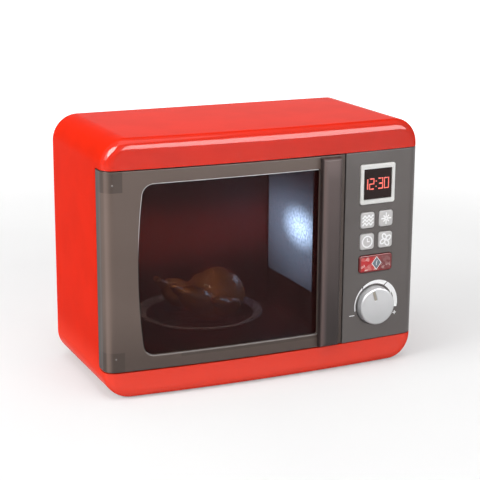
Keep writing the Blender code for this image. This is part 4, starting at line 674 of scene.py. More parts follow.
@dataclass(frozen=True)
class Finish:
    """What a surface is made of; the plainest is moulded plastic.

    Attributes:
        name: the material's name.
        colour: main colour, linear.
        roughness: how matt it is.
        shift: how far the colour drifts over the surface, as a share.
        grain: depth of the relief, in metres.
        coat: weight of a clear, glossier skin.
        specular: strength of the plain reflection.
        metallic: 1 for bare metal.
    """

    name: str
    colour: Colour
    roughness: float = 0.35
    shift: float = 0.05
    grain: float = 0.02 * MM
    coat: float = 0.0
    specular: float = 0.5
    metallic: float = 0.0

    @cache
    def material(self) -> bpy.types.Material:
        """The finish's material, made once.

        Returns:
            The material.
        """
        skin = Skin(self.name)
        self.wire(skin)
        return skin.material

    def wire(self, skin: Skin) -> None:
        """Wires the finish into a new material.

        Args:
            skin: the material's tree.
        """
        low, high = self.roughness * 0.93, min(1.0, self.roughness * 1.12 + 0.01)
        bump = {"Height": self.relief(skin), "Strength": 1.0, "Distance": self.grain}
        skin.set(Base_Color=self.painted(skin), Normal=skin.node("ShaderNodeBump", bump).outputs[0])
        skin.set(Roughness=skin.effect(Effect.SMUDGE, Scale=24.0, Low=low, High=high))
        skin.set(Metallic=self.metallic, Specular_IOR_Level=self.specular)
        skin.set(Coat_Weight=self.coat, Coat_Roughness=0.06)

    def relief(self, skin: Skin) -> Socket:
        """Heights of the moulded grain."""
        return skin.effect(Effect.GRAIN, Fine=2600.0, Broad=420.0)

    def painted(self, skin: Skin) -> Socket:
        """The main colour, which drifts a little over the surface."""
        lighter = tuple(min(1.0, value * (1 + self.shift)) for value in self.colour)
        return skin.effect(Effect.MOTTLE, Scale=28.0, First=self.times(1 - self.shift), Second=lighter)

    def times(self, share: float) -> Colour:
        """The main colour, darker or brighter by a share."""
        return tuple(value * share for value in self.colour)


@dataclass(frozen=True)
class SmokedPane(Finish):
    """Dark see-through plastic; `cover` is how much it hides of what lies behind it."""

    cover: float = 0.8

    def wire(self, skin: Skin) -> None:
        """Wires the smoke, a little cloudy."""
        super().wire(skin)
        skin.set(Alpha=skin.ramp(skin.noise(9.0), 0.2, 0.8, self.cover - 0.03, self.cover + 0.03))


@dataclass(frozen=True)
class Shaded(Finish):
    """Plastic with painted shade that makes it darker towards its foot.

    Attributes:
        span: heights of the foot and of the head.
        foot: brightness of the painted shade at the foot, as a share.
    """

    span: Pair = (25 * MM, 192 * MM)
    foot: float = 0.45

    def painted(self, skin: Skin) -> Socket:
        """The colour with its painted shade falling from head to foot.

        Args:
            skin: the material's tree.

        Returns:
            The colour's output.
        """
        return skin.blend(
            skin.ramp(skin.axes()[2], *self.span, 1, 0), super().painted(skin), self.times(self.foot)
        )


@dataclass(frozen=True)
class Grip(Shaded):
    """Plastic of the handle with painted shade on its flank, right side, top and foot, and painted
    highlights.

    Attributes:
        flank: X where the painted shade of the flank starts to end, where it ends and where the edge's
            painted highlight ends.
        head: heights between which a painted highlight makes it brighter.
        lip: height of the painted shade along the top.
        right: X where the painted shade of the right side starts and ends.
        shade: brightness of the painted shade on the flank, the right side and the top, as a share.
        glint: brightness of the painted highlights, as a share.
    """

    flank: Colour = (45.8 * MM, 46.9 * MM, 52 * MM)
    head: Pair = (170 * MM, 189 * MM)
    lip: float = 2 * MM
    right: Pair = (58 * MM, 65 * MM)
    shade: float = 0.5
    glint: float = 1.6

    def painted(self, skin: Skin) -> Socket:
        """The colour with painted shade at the foot, flank, right and top, and painted highlights on the left
        edge and near the top.

        Args:
            skin: the material's tree.

        Returns:
            The colour's output.
        """
        across, _, height = skin.axes()
        start, edge, end = self.flank
        top = self.span[1]
        shares = (
            skin.ramp(across, start, edge, 1, 0),
            skin.ramp(across, *self.right, 0, 0.7),
            skin.ramp(height, top - self.lip, top, 0, 1),
        )
        glints = skin.ramp(across, edge, end, 0.6, 0), skin.ramp(height, *self.head, 0, 0.7)
        lit = skin.blend(skin.maths("MAXIMUM", *glints), super().painted(skin), self.times(self.glint))
        return skin.blend(skin.maths("MAXIMUM", *shares), lit, self.times(self.shade * (1 + self.foot) / 2))


@dataclass(frozen=True)
class SmokedShell(Shaded):
    """Grey translucent plastic: hinge blocks show through as darker patches, with painted shade and
    highlights.

    Attributes:
        knuckles: low and high corners of the darker patches: the hinge blocks behind the skin, then painted
            shade beside the handle and on the window's rims.
        soft: how far a patch's edge takes to fade.
        round_corner: direction in which the left corner's painted shade and highlight follow one another.
        corner: where along it the painted shade of the side starts to end and ends, the painted highlight
            line and its end.
    """

    knuckles: tuple[tuple[Colour, Colour], ...] = ()
    soft: float = 0.8 * MM
    round_corner: Colour = (0.912, -0.41, 0.0)
    corner: tuple[float, ...] = (-113 * MM, -108.5 * MM, -106 * MM, -101 * MM)

    def painted(self, skin: Skin) -> Socket:
        """The colour with the darker patches and the corner's painted shade and highlight.

        Args:
            skin: the material's tree.

        Returns:
            The colour's output.
        """
        colour = super().painted(skin)
        for corners in self.knuckles:
            low, high = map(Vector, corners)
            patch = skin.effect(Effect.ZONE, Centre=(high + low) / 2, Half=(high - low) / 2, Soft=self.soft)
            colour = skin.blend(skin.maths("MULTIPLY", patch, 0.7), colour, self.times(0.45))
        start, dark, bright, end = self.corner
        along_corner = skin.vectors("DOT_PRODUCT", skin.place, self.round_corner)
        line = skin.ramp(along_corner, dark, bright, 0, 0.6), skin.ramp(along_corner, bright, end, 1, 0)
        colour = skin.blend(skin.maths("MULTIPLY", *line), colour, self.times(1.7))
        return skin.blend(skin.ramp(along_corner, start, dark, 0.85, 0), colour, self.times(0.15))


@dataclass(frozen=True)
class PlateSmoke(SmokedPane):
    """Dark plate plastic with painted highlights, in scattered glints, along the raised rim.

    Attributes:
        rim: colour of the painted highlights along the rim.
        height: Z where the painted highlights start.
        rise: how far it takes to get its colour.
    """

    rim: Colour = (1.0, 0.94, 1.0)
    height: float = 44.6 * MM
    rise: float = 2 * MM

    def painted(self, skin: Skin) -> Socket:
        """The colour with the painted highlights on the rim.

        Args:
            skin: the material's tree.

        Returns:
            The colour's output.
        """
        share = skin.ramp(skin.axes()[2], self.height, self.height + self.rise, 0, 1)
        glints = skin.ramp(skin.noise(260.0, 4), 0.42, 0.62, 0.25, 1)
        return skin.blend(skin.maths("MULTIPLY", share, glints), super().painted(skin), self.rim)


@dataclass(frozen=True)
class HighlightBead(Finish):
    """Bead coloured as a painted highlight, bright only at the window's top and upper left.

    Attributes:
        dull: colour of the rest of the bead.
        left: X where the left side starts and stops to fade.
        low: heights where the painted highlight on the left side starts and is full.
        high: heights where the painted highlight on the top side starts and is full.
        right: X beyond which no part is bright.
    """

    dull: Colour = (0.05, 0.042, 0.038)
    left: Pair = (-90 * MM, -84 * MM)
    low: Pair = (118 * MM, 148 * MM)
    high: Pair = (174 * MM, 177 * MM)
    right: float = 44 * MM

    def painted(self, skin: Skin) -> Socket:
        """The two stretches of painted highlight.

        Args:
            skin: the material's tree.

        Returns:
            The colour's output.
        """
        across, _, height = skin.axes()
        side = skin.maths(
            "MULTIPLY", skin.ramp(across, *self.left, 1, 0), skin.ramp(height, *self.low, 0, 1)
        )
        share = skin.maths("MAXIMUM", skin.ramp(height, *self.high, 0, 1), side)
        share = skin.maths("MULTIPLY", share, skin.maths("LESS_THAN", across, self.right))
        return skin.blend(share, self.dull, self.colour)


@dataclass(frozen=True)
class Lens(Finish):
    """Clear red plastic with painted highlights from the facets inside it.

    Attributes:
        facet_highlight: colour of the painted highlights.
        clear: colour of the clearer half.
        rim: colour of the dark rim.
        clearing: X between which it gets clearer.
        ends: X between which the painted highlights get fewer.
        centre: middle of the face inside the rim.
        half: half the width, depth and height inside the rim.
        sink: how far below the centre the painted highlights are most.
        soft: how far the rim takes to fade.
    """

    facet_highlight: Colour = (1.0, 0.72, 0.68)
    clear: Colour = (0.08, 0.042, 0.045)
    rim: Colour = (0.22, 0.008, 0.01)
    clearing: Pair = (101 * MM, 109 * MM)
    ends: Pair = (89 * MM, 100 * MM)
    centre: Colour = (102.5 * MM, -65 * MM, 93.7 * MM)
    half: Colour = (14.6 * MM, 20 * MM, 5.4 * MM)
    sink: float = 5 * MM
    soft: float = 1.1 * MM

    def painted(self, skin: Skin) -> Socket:
        """The facets' painted highlights, which show most at the ends and low down, inside the rim.

        Args:
            skin: the material's tree.

        Returns:
            The colour's output.
        """
        across, _, height = skin.axes()
        level = self.centre[2]
        facets = skin.ramp(skin.cells(330.0, "Color"), 0.45, 0.8, 0, 0.8)
        ends = skin.ramp(across, *self.ends, 0.85, 0.12)
        sunk = skin.ramp(height, level - self.sink, level, 0.5, 0)
        base = skin.blend(skin.ramp(across, *self.clearing, 0, 0.75), self.colour, self.clear)
        lit = skin.blend(skin.maths("MULTIPLY", facets, skin.maths("ADD", ends, sunk)), base, self.facet_highlight)
        inside = skin.effect(Effect.ZONE, Centre=self.centre, Half=self.half, Soft=self.soft)
        return skin.blend(inside, self.rim, lit)


@dataclass(frozen=True)
class Glow(Finish):
    """A surface that gives off light, brightest at one place; on the cavity wall it is a painted pool of
    light.

    Attributes:
        light: colour of the light.
        strength: its strength at the brightest place.
        centre: the brightest place.
        reach: how far the light carries.
        core: how far its bright spot reaches, as a share.
        edge: what is left of it beyond the reach, as a share.
        spot: how much stronger the bright spot is than the light round it.
        squash: how fast it falls along each axis, as a share.
        high: heights between which it gets weaker.
    """

    light: Colour = (1.0, 1.0, 1.0)
    strength: float = 1.0
    centre: Colour = (0.0, 0.0, 0.0)
    reach: float = 1.0
    core: float = 0.34
    edge: float = 1.0
    spot: float = 0.0
    squash: Colour = (1.0, 0.68, 1.2)
    high: Pair = (10.0, 11.0)

    def away(self, skin: Skin) -> Socket:
        """How far a place lies from the brightest one."""
        squashed = skin.vectors("MULTIPLY", skin.place, self.squash)
        return skin.vectors("DISTANCE", squashed, Vector(self.centre) * Vector(self.squash))

    def share(self, skin: Skin) -> Socket:
        """How much of the light is left at a place."""
        fall = skin.ramp(self.away(skin), 0, self.reach, 1, self.edge)
        return skin.maths("MULTIPLY", fall, skin.ramp(skin.axes()[2], *self.high, 1, 0.3))

    def painted(self, skin: Skin) -> Socket:
        """The colour, with painted shade away from the light."""
        return skin.blend(self.share(skin), self.times(self.edge), self.colour)

    def wire(self, skin: Skin) -> None:
        """Wires the light with its bright, speckled spot of painted light.

        Args:
            skin: the material's tree.
        """
        super().wire(skin)
        spot = skin.ramp(self.away(skin), 0, self.reach * self.core, self.spot, 0)
        frost = skin.ramp(skin.noise(420.0, 4), 0.3, 0.7, 0.6, 1.35)
        level = skin.maths("MULTIPLY", skin.maths("ADD", spot, self.share(skin)), frost, self.strength)
        skin.set(Emission_Color=self.light, Emission_Strength=level)


@dataclass(frozen=True)
class Brushed(Shaded):
    """Satin paint or metal with fine lines across it."""

    foot: float = 1.0

    def relief(self, skin: Skin) -> Socket:
        """Heights of the fine lines."""
        long = skin.node("ShaderNodeMapping", {"Vector": skin.place, "Scale": (3.0, 3.0, 0.12)})
        return skin.noise(900.0, 3, long.outputs[0])


@dataclass(frozen=True)
class Roast(Finish):
    """Glossy, pimpled roast skin; `crust` is the colour of its browner patches."""

    crust: Colour = (0.14, 0.045, 0.012)

    def painted(self, skin: Skin) -> Socket:
        """The browning."""
        return skin.effect(Effect.MOTTLE, Scale=55.0, First=self.crust, Second=self.colour)

    def relief(self, skin: Skin) -> Socket:
        """Heights of the pimples."""
        return skin.cells(420.0, "Distance")


@dataclass(frozen=True)
class Gloss(Finish):
    """Polished plastic with painted floor light at its foot; its clear skin shows least at a glancing angle.

    Attributes:
        foot: its colour low down, paler from painted light off the floor.
        span: heights where that colour starts to fade and where it ends.
        bounce: the greyer colour that it throws onto other surfaces.
    """

    foot: Colour = (0.95, 0.06, 0.03)
    span: Pair = (12 * MM, 46 * MM)
    bounce: Colour = (0.3, 0.27, 0.29)

    def painted(self, skin: Skin) -> Socket:
        """The colour with the painted floor light at its foot, and the one that it throws.

        Args:
            skin: the material's tree.

        Returns:
            The colour's output.
        """
        colour = skin.blend(skin.ramp(skin.axes()[2], *self.span, 0.8, 0), super().painted(skin), self.foot)
        thrown = skin.maths("MULTIPLY", skin.node("ShaderNodeLightPath").outputs["Is Diffuse Ray"], 0.7)
        return skin.blend(thrown, colour, self.bounce)

    def wire(self, skin: Skin) -> None:
        """Wires the clear skin.

        Args:
            skin: the material's tree.
        """
        super().wire(skin)
        facing = skin.node("ShaderNodeLayerWeight", {"Blend": 0.5}).outputs["Facing"]
        skin.set(Coat_Weight=skin.ramp(facing, 0.3, 0.62, self.coat, 0))


@dataclass(frozen=True)
class Cavern(Finish):
    """Plastic with painted shade that makes it darker away from the middle of the back wall.

    Attributes:
        middle: the place where it looks brightest.
        half: half the size of the bright region.
        soft: how far it takes to fade.
        dark: brightness of the painted shade away from it, as a share.
    """

    middle: Colour = (0, 40 * MM, 102 * MM)
    half: Colour = (60 * MM, 200 * MM, 5 * MM)
    soft: float = 36 * MM
    dark: float = 0.1

    def painted(self, skin: Skin) -> Socket:
        """The colour with its painted shade."""
        bright = skin.effect(Effect.ZONE, Centre=self.middle, Half=self.half, Soft=self.soft)
        return skin.blend(bright, self.times(self.dark), super().painted(skin))


@dataclass(frozen=True)
class Board(Finish):
    """Circuit board; `track` is the colour of its tracks."""

    track: Colour = (0.1, 0.35, 0.12)

    def painted(self, skin: Skin) -> Socket:
        """The tracks, as the borders of square cells."""
        tracks = skin.ramp(skin.cells(300.0, "Distance", distance="MANHATTAN"), 0.45, 0.55, 0, 1)
        return skin.blend(tracks, self.colour, self.track)


@dataclass(frozen=True)
class CellWrap(Finish):
    """Printed wrap of a battery; `band` is its upper colour, from `height` on."""

    band: Colour = (0.7, 0.35, 0.05)
    height: Pair = (72 * MM, 72.2 * MM)

    def painted(self, skin: Skin) -> Socket:
        """The two colours."""
        return skin.blend(skin.ramp(skin.axes()[2], *self.height, 0, 1), self.colour, self.band)


# case red; its paler foot is painted light off the floor
RED = Gloss("case_red", (0.78, 0.019, 0.002), 0.12, 0.03, 0.002 * MM, coat=0.5, specular=0.003)
COVER_RED = Finish("cover_red", (0.74, 0.022, 0.004), 0.38, 0.04, 0.03 * MM, specular=0.3)
# painted shade: the cavity lining gets darker away from the middle of the back wall
LINER_RED = Cavern("cavity_red", (0.67, 0.065, 0.049), 0.5, 0.06, 0.01 * MM)
SHELL_GREY = SmokedShell(
    "door_grey_plastic",
    srgb(108, 93, 86),
    0.32,
    0.03,
    0.006 * MM,
    specular=0.15,
    # painted shade: the door gets darker towards its bottom
    span=(20 * MM, 80 * MM),
    foot=0.62,
    # the first two patches are the hinge blocks behind the skin; the other three are painted shade right of
    # the handle and on the window's right and bottom rims
    knuckles=(
        ((-150 * MM, -75 * MM, 24 * MM), (-129.5 * MM, -42 * MM, 41 * MM)),
        ((-150 * MM, -75 * MM, 176 * MM), (-129.5 * MM, -42 * MM, 194 * MM)),
        ((63.5 * MM, -75 * MM, 20 * MM), (71 * MM, -40 * MM, 195 * MM)),
        ((43.5 * MM, -75 * MM, 36 * MM), (46.4 * MM, -60 * MM, 182 * MM)),
        ((-80 * MM, -75 * MM, 33.4 * MM), (46.4 * MM, -60 * MM, 38 * MM)),
    ),
)
INNER_GREY = Finish("inner_grey_plastic", srgb(84, 74, 69), 0.4, 0.05, 0.02 * MM)
PANEL_GREY = Finish("panel_grey_plastic", srgb(102, 96, 94), 0.3, 0.03, 0.008 * MM, specular=0.2)
# handle with painted shade on its flank, right side, top and foot, and painted highlights
HANDLE_GREY = Grip("handle_grey_plastic", srgb(93, 78, 76), 0.34, 0.04, 0.008 * MM, specular=0.2, foot=0.25)
PANE = SmokedPane("smoked_pane", (0.025, 0.005, 0.005), 0.05, 0.2, 0.001 * MM, specular=0.08, cover=0.75)
# plate with painted highlights along its rim
PLATE_DARK = PlateSmoke("plate_smoked_plastic", (0.03, 0.016, 0.018), 0.08, 0.1, 0.002 * MM, cover=0.9)
WHITE = Finish("bezel_white", (0.84, 0.83, 0.81), 0.3, 0.02, 0.01 * MM)
SILVER = Brushed(
    "silver_paint",
    (0.55, 0.55, 0.56),
    0.36,
    0.04,
    0.004 * MM,
    metallic=0.2,
    # painted shade: the knob gets darker towards its foot
    span=(37 * MM, 72 * MM),
    foot=0.66,
)
POINTER = Finish("pointer_plastic", srgb(156, 147, 134), 0.45, 0.08, 0.02 * MM)
# bead coloured as a painted highlight line on the window's rim
HIGHLIGHT_BEAD = HighlightBead("painted_highlight_bead", (0.9, 0.9, 0.92), 0.2, 0.03, 0.002 * MM)
BUTTON_GREY = Finish("button_grey_plastic", (0.62, 0.6, 0.6), 0.35, 0.03, 0.01 * MM, specular=0.3)
# red lens with painted highlights from its facets
CLEAR_RED = Lens("clear_red_plastic", (0.62, 0.012, 0.015), 0.08, 0.1, 0.004 * MM, specular=0.4)
BLACK = Finish("inner_black", (0.014, 0.013, 0.013), 0.4, 0.1, 0.03 * MM)
SCREEN = Finish("screen_plastic", srgb(46, 29, 28), 0.07, 0.15, 0.001 * MM, specular=0.12)
BOARD = Board("circuit_board", (0.015, 0.13, 0.045), 0.35, 0.05, 0.03 * MM)
NYLON = Finish("gear_nylon", (0.78, 0.75, 0.66), 0.42, 0.04, 0.01 * MM)
STEEL = Brushed("plain_steel", (0.58, 0.58, 0.6), 0.28, 0.05, 0.01 * MM, metallic=1.0)
CELL = CellWrap("battery_wrap", (0.03, 0.03, 0.035), 0.3, 0.05, 0.002 * MM)
INK = Finish("white_ink", (0.97, 0.97, 0.98), 0.45, 0.03, 0.01 * MM)
DARK_INK = Finish("dark_ink", srgb(60, 56, 54), 0.45, 0.05, 0.01 * MM)
BLUE_INK = Finish("blue_grey_ink", srgb(92, 104, 116), 0.3, 0.08, 0.01 * MM)
SKIN = Roast("roast_skin", (0.62, 0.24, 0.06), 0.22, 0.2, 0.3 * MM, coat=1.0)
DIGITS = Glow("display_light", (0.3, 0.02, 0.02), 0.4, light=(1.0, 0.13, 0.08))
# painted pool of light from the lamp on the cavity's right wall and diffuser, with painted shade away from it
LIGHT = Glow(
    "cavity_light",
    (0.45, 0.52, 0.62),
    0.5,
    light=(0.5, 0.68, 1.0),
    strength=3.6,
    centre=(60 * MM, -3 * MM, 115 * MM),
    reach=86 * MM,
    edge=0.12,
    spot=5.0,
    high=(122 * MM, 165 * MM),
)
LAMP = Glow("lamp_light", (0.9, 0.9, 0.95), 0.15, light=(0.85, 0.93, 1.0), strength=2.0)


# Sub-assemblies


@dataclass(frozen=True)
class Front:
    """The bowed front that the case, the door and the panel share.

    Attributes:
        side: half of the width.
        face: Y of the front's middle.
        rear: Y of the back.
        top: height of the case.
        fall: how far the bow falls back at the sides.
        edge: rounding of the front's edges.
        recess: heights where the lower band ends and the upper one starts.
        skin: thickness of the door's and the panel's skin.
        gap: running gap between pieces.
    """

    side: float = 145 * MM
    face: float = -67.4 * MM
    rear: float = 73.6 * MM
    top: float = 218.5 * MM
    fall: float = 6.5 * MM
    edge: float = 9 * MM
    recess: Pair = (23.6 * MM, 193.7 * MM)
    skin: float = 2.5 * MM
    gap: float = 0.3 * MM

    def bow(self, x: float) -> float:
        """How far the front lies behind its middle at an X."""
        return self.fall * (x / self.side) ** 2

    def surface(self, x: float) -> float:
        """Y of the bowed face at an X."""
        return self.face + self.bow(x)

    def plan(self, x: float, inset: float = 0) -> float:
        """Y of the front in plan, with its rounded corners.

        Args:
            x: place along the front.
            inset: how far the line is drawn in.

        Returns:
            The Y there.
        """
        radius = self.edge - inset
        reach = min(max(abs(x) - (self.side - self.edge), 0), radius)
        return self.face + inset + radius - math.sqrt(radius**2 - reach**2) + self.bow(x)


@dataclass
class Tray:
    """Open-backed tray that wraps one front corner of the case.

    Attributes:
        front: the shared front.
        side: -1 for the left corner, 1 for the right one.
        seam: X of its end in the middle of the front.
        bottom, top: its heights.
        rear: Y of its back.
        corner: rounding of its lower back edge.
        flange: thickness of its side walls.
        edge: rounding of its outer edges.
    """

    front: Front
    side: int
    seam: float
    bottom: float
    top: float
    rear: float
    corner: float
    flange: float = 2.2 * MM
    edge: float = 0.6 * MM

    def plan(self, seam: float, inset: float, rear: float) -> list[Pair]:
        """Its outline in X and Y.

        Args:
            seam: X where the outline ends.
            inset: how far it is drawn in from the front.
            rear: Y of its back.

        Returns:
            The outline's points.
        """
        arc, radius = self.side * (self.front.side - self.front.edge), self.front.edge - inset
        xs = even_steps(seam, arc, 36)
        xs += [arc + self.side * radius * math.sin(turn) for turn in even_steps(0, TURN / 4, 12)[1:]]
        return [(x, self.front.plan(x, inset)) for x in xs] + [(xs[-1], rear), (seam, rear)]

    def outer(self) -> Form:
        """The tray's outside, with its edges rounded."""
        form = Form.slab(self.plan(self.seam, 0, self.rear), self.bottom, self.top, False)
        return form.soften(self.lower_back, self.corner).soften(self.outer_edge, self.edge, 3)

    def hollow(self) -> Form:
        """Cutter for the tray's inside."""
        outline = self.plan(self.seam + self.side * self.flange, self.front.skin, self.rear + OVERRUN)
        return Form.slab(outline, self.bottom + self.flange, self.top - self.flange, False)

    def lower_back(self, edge: bmesh.types.BMEdge) -> bool:
        """Whether an edge is the tray's lower back one."""
        return along(0)(edge) and lying_at(1, self.rear)(edge) and lying_at(2, self.bottom)(edge)

    def outer_edge(self, edge: bmesh.types.BMEdge) -> bool:
        """Whether an edge lies round the tray's top or bottom, or at the seam."""
        at_seam = along(2)(edge) and lying_at(0, self.seam)(edge)
        return (lying_at(2, self.bottom, self.top)(edge) or at_seam) and not lying_at(1, self.rear)(edge)


@dataclass
class Housing:
    """Red case: rounded shell, bands above and below the recess, bulkhead.

    Attributes:
        front: the shared front.
        wall: thickness of the shell.
        corner: rounding of the long corners.
        bulkhead: Y of the bulkhead's face.
        side_edge: Y where the side starts behind the recess.
        lip: how far the side stands in front of the recess.
        notch: rounding of the recess's lower back edge.
        cavity, panel_way, slot: low and high corners, in X and Z, of the way into the
            cavity, of the opening behind the panel and of the catch's slot.
        way_radius: rounding of the first two's corners.
    """

    front: Front
    wall: float = 2.5 * MM
    corner: float = 22.5 * MM
    bulkhead: float = -40.4 * MM
    side_edge: float = -41.6 * MM
    lip: float = 1.3 * MM
    notch: float = 5 * MM
    cavity: tuple[Pair, Pair] = ((-128 * MM, 28 * MM), (60 * MM, 190 * MM))
    panel_way: tuple[Pair, Pair] = ((80.5 * MM, 48.1 * MM), (130.5 * MM, 175.2 * MM))
    slot: tuple[Pair, Pair] = ((62.9 * MM, 102.15 * MM), (67.4 * MM, 115.15 * MM))
    way_radius: float = 8 * MM

    def shell(self, inset: float, rear: float) -> Form:
        """The rounded, bowed block.

        Args:
            inset: how far it is drawn in, evenly.
            rear: Y of its back.

        Returns:
            The block.
        """
        front = self.front
        half, face = front.side - inset, front.face + inset
        form = Form.block((-half, face, inset), (half, rear, front.top - inset))
        form.soften(along(1), self.corner - inset, 16).soften(lying_at(1, face), front.edge - inset, 10)
        return form.columns(40).shift_back(front.bow, rear - WELD)

    def across(self, half: float, rear: float, low: float, high: float) -> Form:
        """Cutter from the front back to a rear Y, evenly to both sides."""
        return Form.block((-half, self.front.face - OVERRUN, low), (half, rear, high))

    def way(self, corners: tuple[Pair, Pair]) -> Form:
        """Cutter for an opening through the bulkhead, from its low and high corners."""
        (left, low), (right, high) = corners
        return Form.block((left, self.front.face, low), (right, self.bulkhead + self.wall + OVERRUN, high))

    def build(self) -> None:
        """Builds the case and dresses it."""
        front, (low, high) = self.front, self.front.recess
        back, wide = self.bulkhead + self.wall, front.side + OVERRUN
        shelf = self.across(wide, back, low - self.wall, high + self.wall)
        hollow = self.shell(self.wall, front.rear + OVERRUN).carve(Carving.CUT, shelf)
        notch = self.across(wide, self.side_edge, low, high).soften(self.lower_back, self.notch)
        recess = self.across(front.side - self.lip, self.bulkhead, low, high)
        ways = self.way(self.cavity).soften(along(1), self.way_radius)
        ways.add(self.way(self.panel_way).soften(along(1), self.way_radius), self.way(self.slot))
        pins = Form.block(*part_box("hinge_pin_top")).add(Form.block(*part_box("hinge_pin_bottom")))
        case = self.shell(0, front.rear).carve(Carving.CUT, hollow, notch, recess, ways)
        case.carve(Carving.CUT, pins).piece("case", "case", RED, "red_plastic", ["case_shell"])

    def lower_back(self, edge: bmesh.types.BMEdge) -> bool:
        """Whether an edge is the recess's lower back one."""
        middle = (edge.verts[0].co + edge.verts[1].co) / 2
        return along(0)(edge) and middle.y > self.front.face and middle.z < self.front.top / 2


@dataclass(frozen=True)
class Window:
    """Opening of the door's window.

    Attributes:
        left: its left edge at mid height.
        right: its right edge.
        bottom: its bottom.
        top: its top at the right.
        bulge: how far the left edge bows out.
        fall: how far the top falls towards the left.
        large, small: rounding of the left and of the right corners.
        rim: rounding of the edge between face and opening.
    """

    left: float = -116.6 * MM
    right: float = 45.5 * MM
    bottom: float = 36.6 * MM
    top: float = 181.6 * MM
    bulge: float = 4.8 * MM
    fall: float = 0.6 * MM
    large: float = 10 * MM
    small: float = 2 * MM
    rim: float = 1.3 * MM

    def outline(self, offset: float) -> list[Pair]:
        """The opening's outline in X and Z.

        Args:
            offset: how far it is grown, evenly.

        Returns:
            The outline's points.
        """
        left, right = self.left - offset, self.right + offset
        bottom, top = self.bottom - offset, self.top + offset
        large, small = self.large + offset, self.small + offset
        middle, tall = (bottom + top) / 2, (top - bottom) / 2

        def side_x(z: float) -> float:
            """X of the left edge at a height."""
            return left + self.bulge * ((z - middle) / tall) ** 2

        def top_z(x: float) -> float:
            """Height of the top edge at an X."""
            return top - self.fall * ((right - x) / (right - left)) ** 2

        level = even_steps(right - 2 * small, left + self.bulge + 2 * large, 20)
        corners = [(right, bottom, small)]
        corners += [*[(x, bottom, 0) for x in level], (side_x(bottom), bottom, large)]
        corners += [(side_x(z), z, 0) for z in even_steps(bottom + 2 * large, top - 2 * large, 14)]
        corners += [(side_x(top), top_z(left), large), *[(x, top_z(x), 0) for x in reversed(level)]]
        return rounded_outline([*corners, (right, top, small)])

    def cutter(self, front: Front, rear: float) -> Form:
        """Cutter with a rounded rim that follows the bow.

        Args:
            front: the shared front.
            rear: Y where the cutter ends.

        Returns:
            The cutter.
        """
        turns = even_steps(0, TURN / 4, 6)
        levels = [(self.rim * (1 - math.cos(turn)), self.rim * (1 - math.sin(turn))) for turn in turns]
        rings = []
        for depth, offset in [(-OVERRUN, self.rim), *levels, (rear - front.face, 0)]:
            rings.append([Vector((x, front.surface(x) + depth, z)) for x, z in self.outline(offset)])
        return Form.loft(rings)


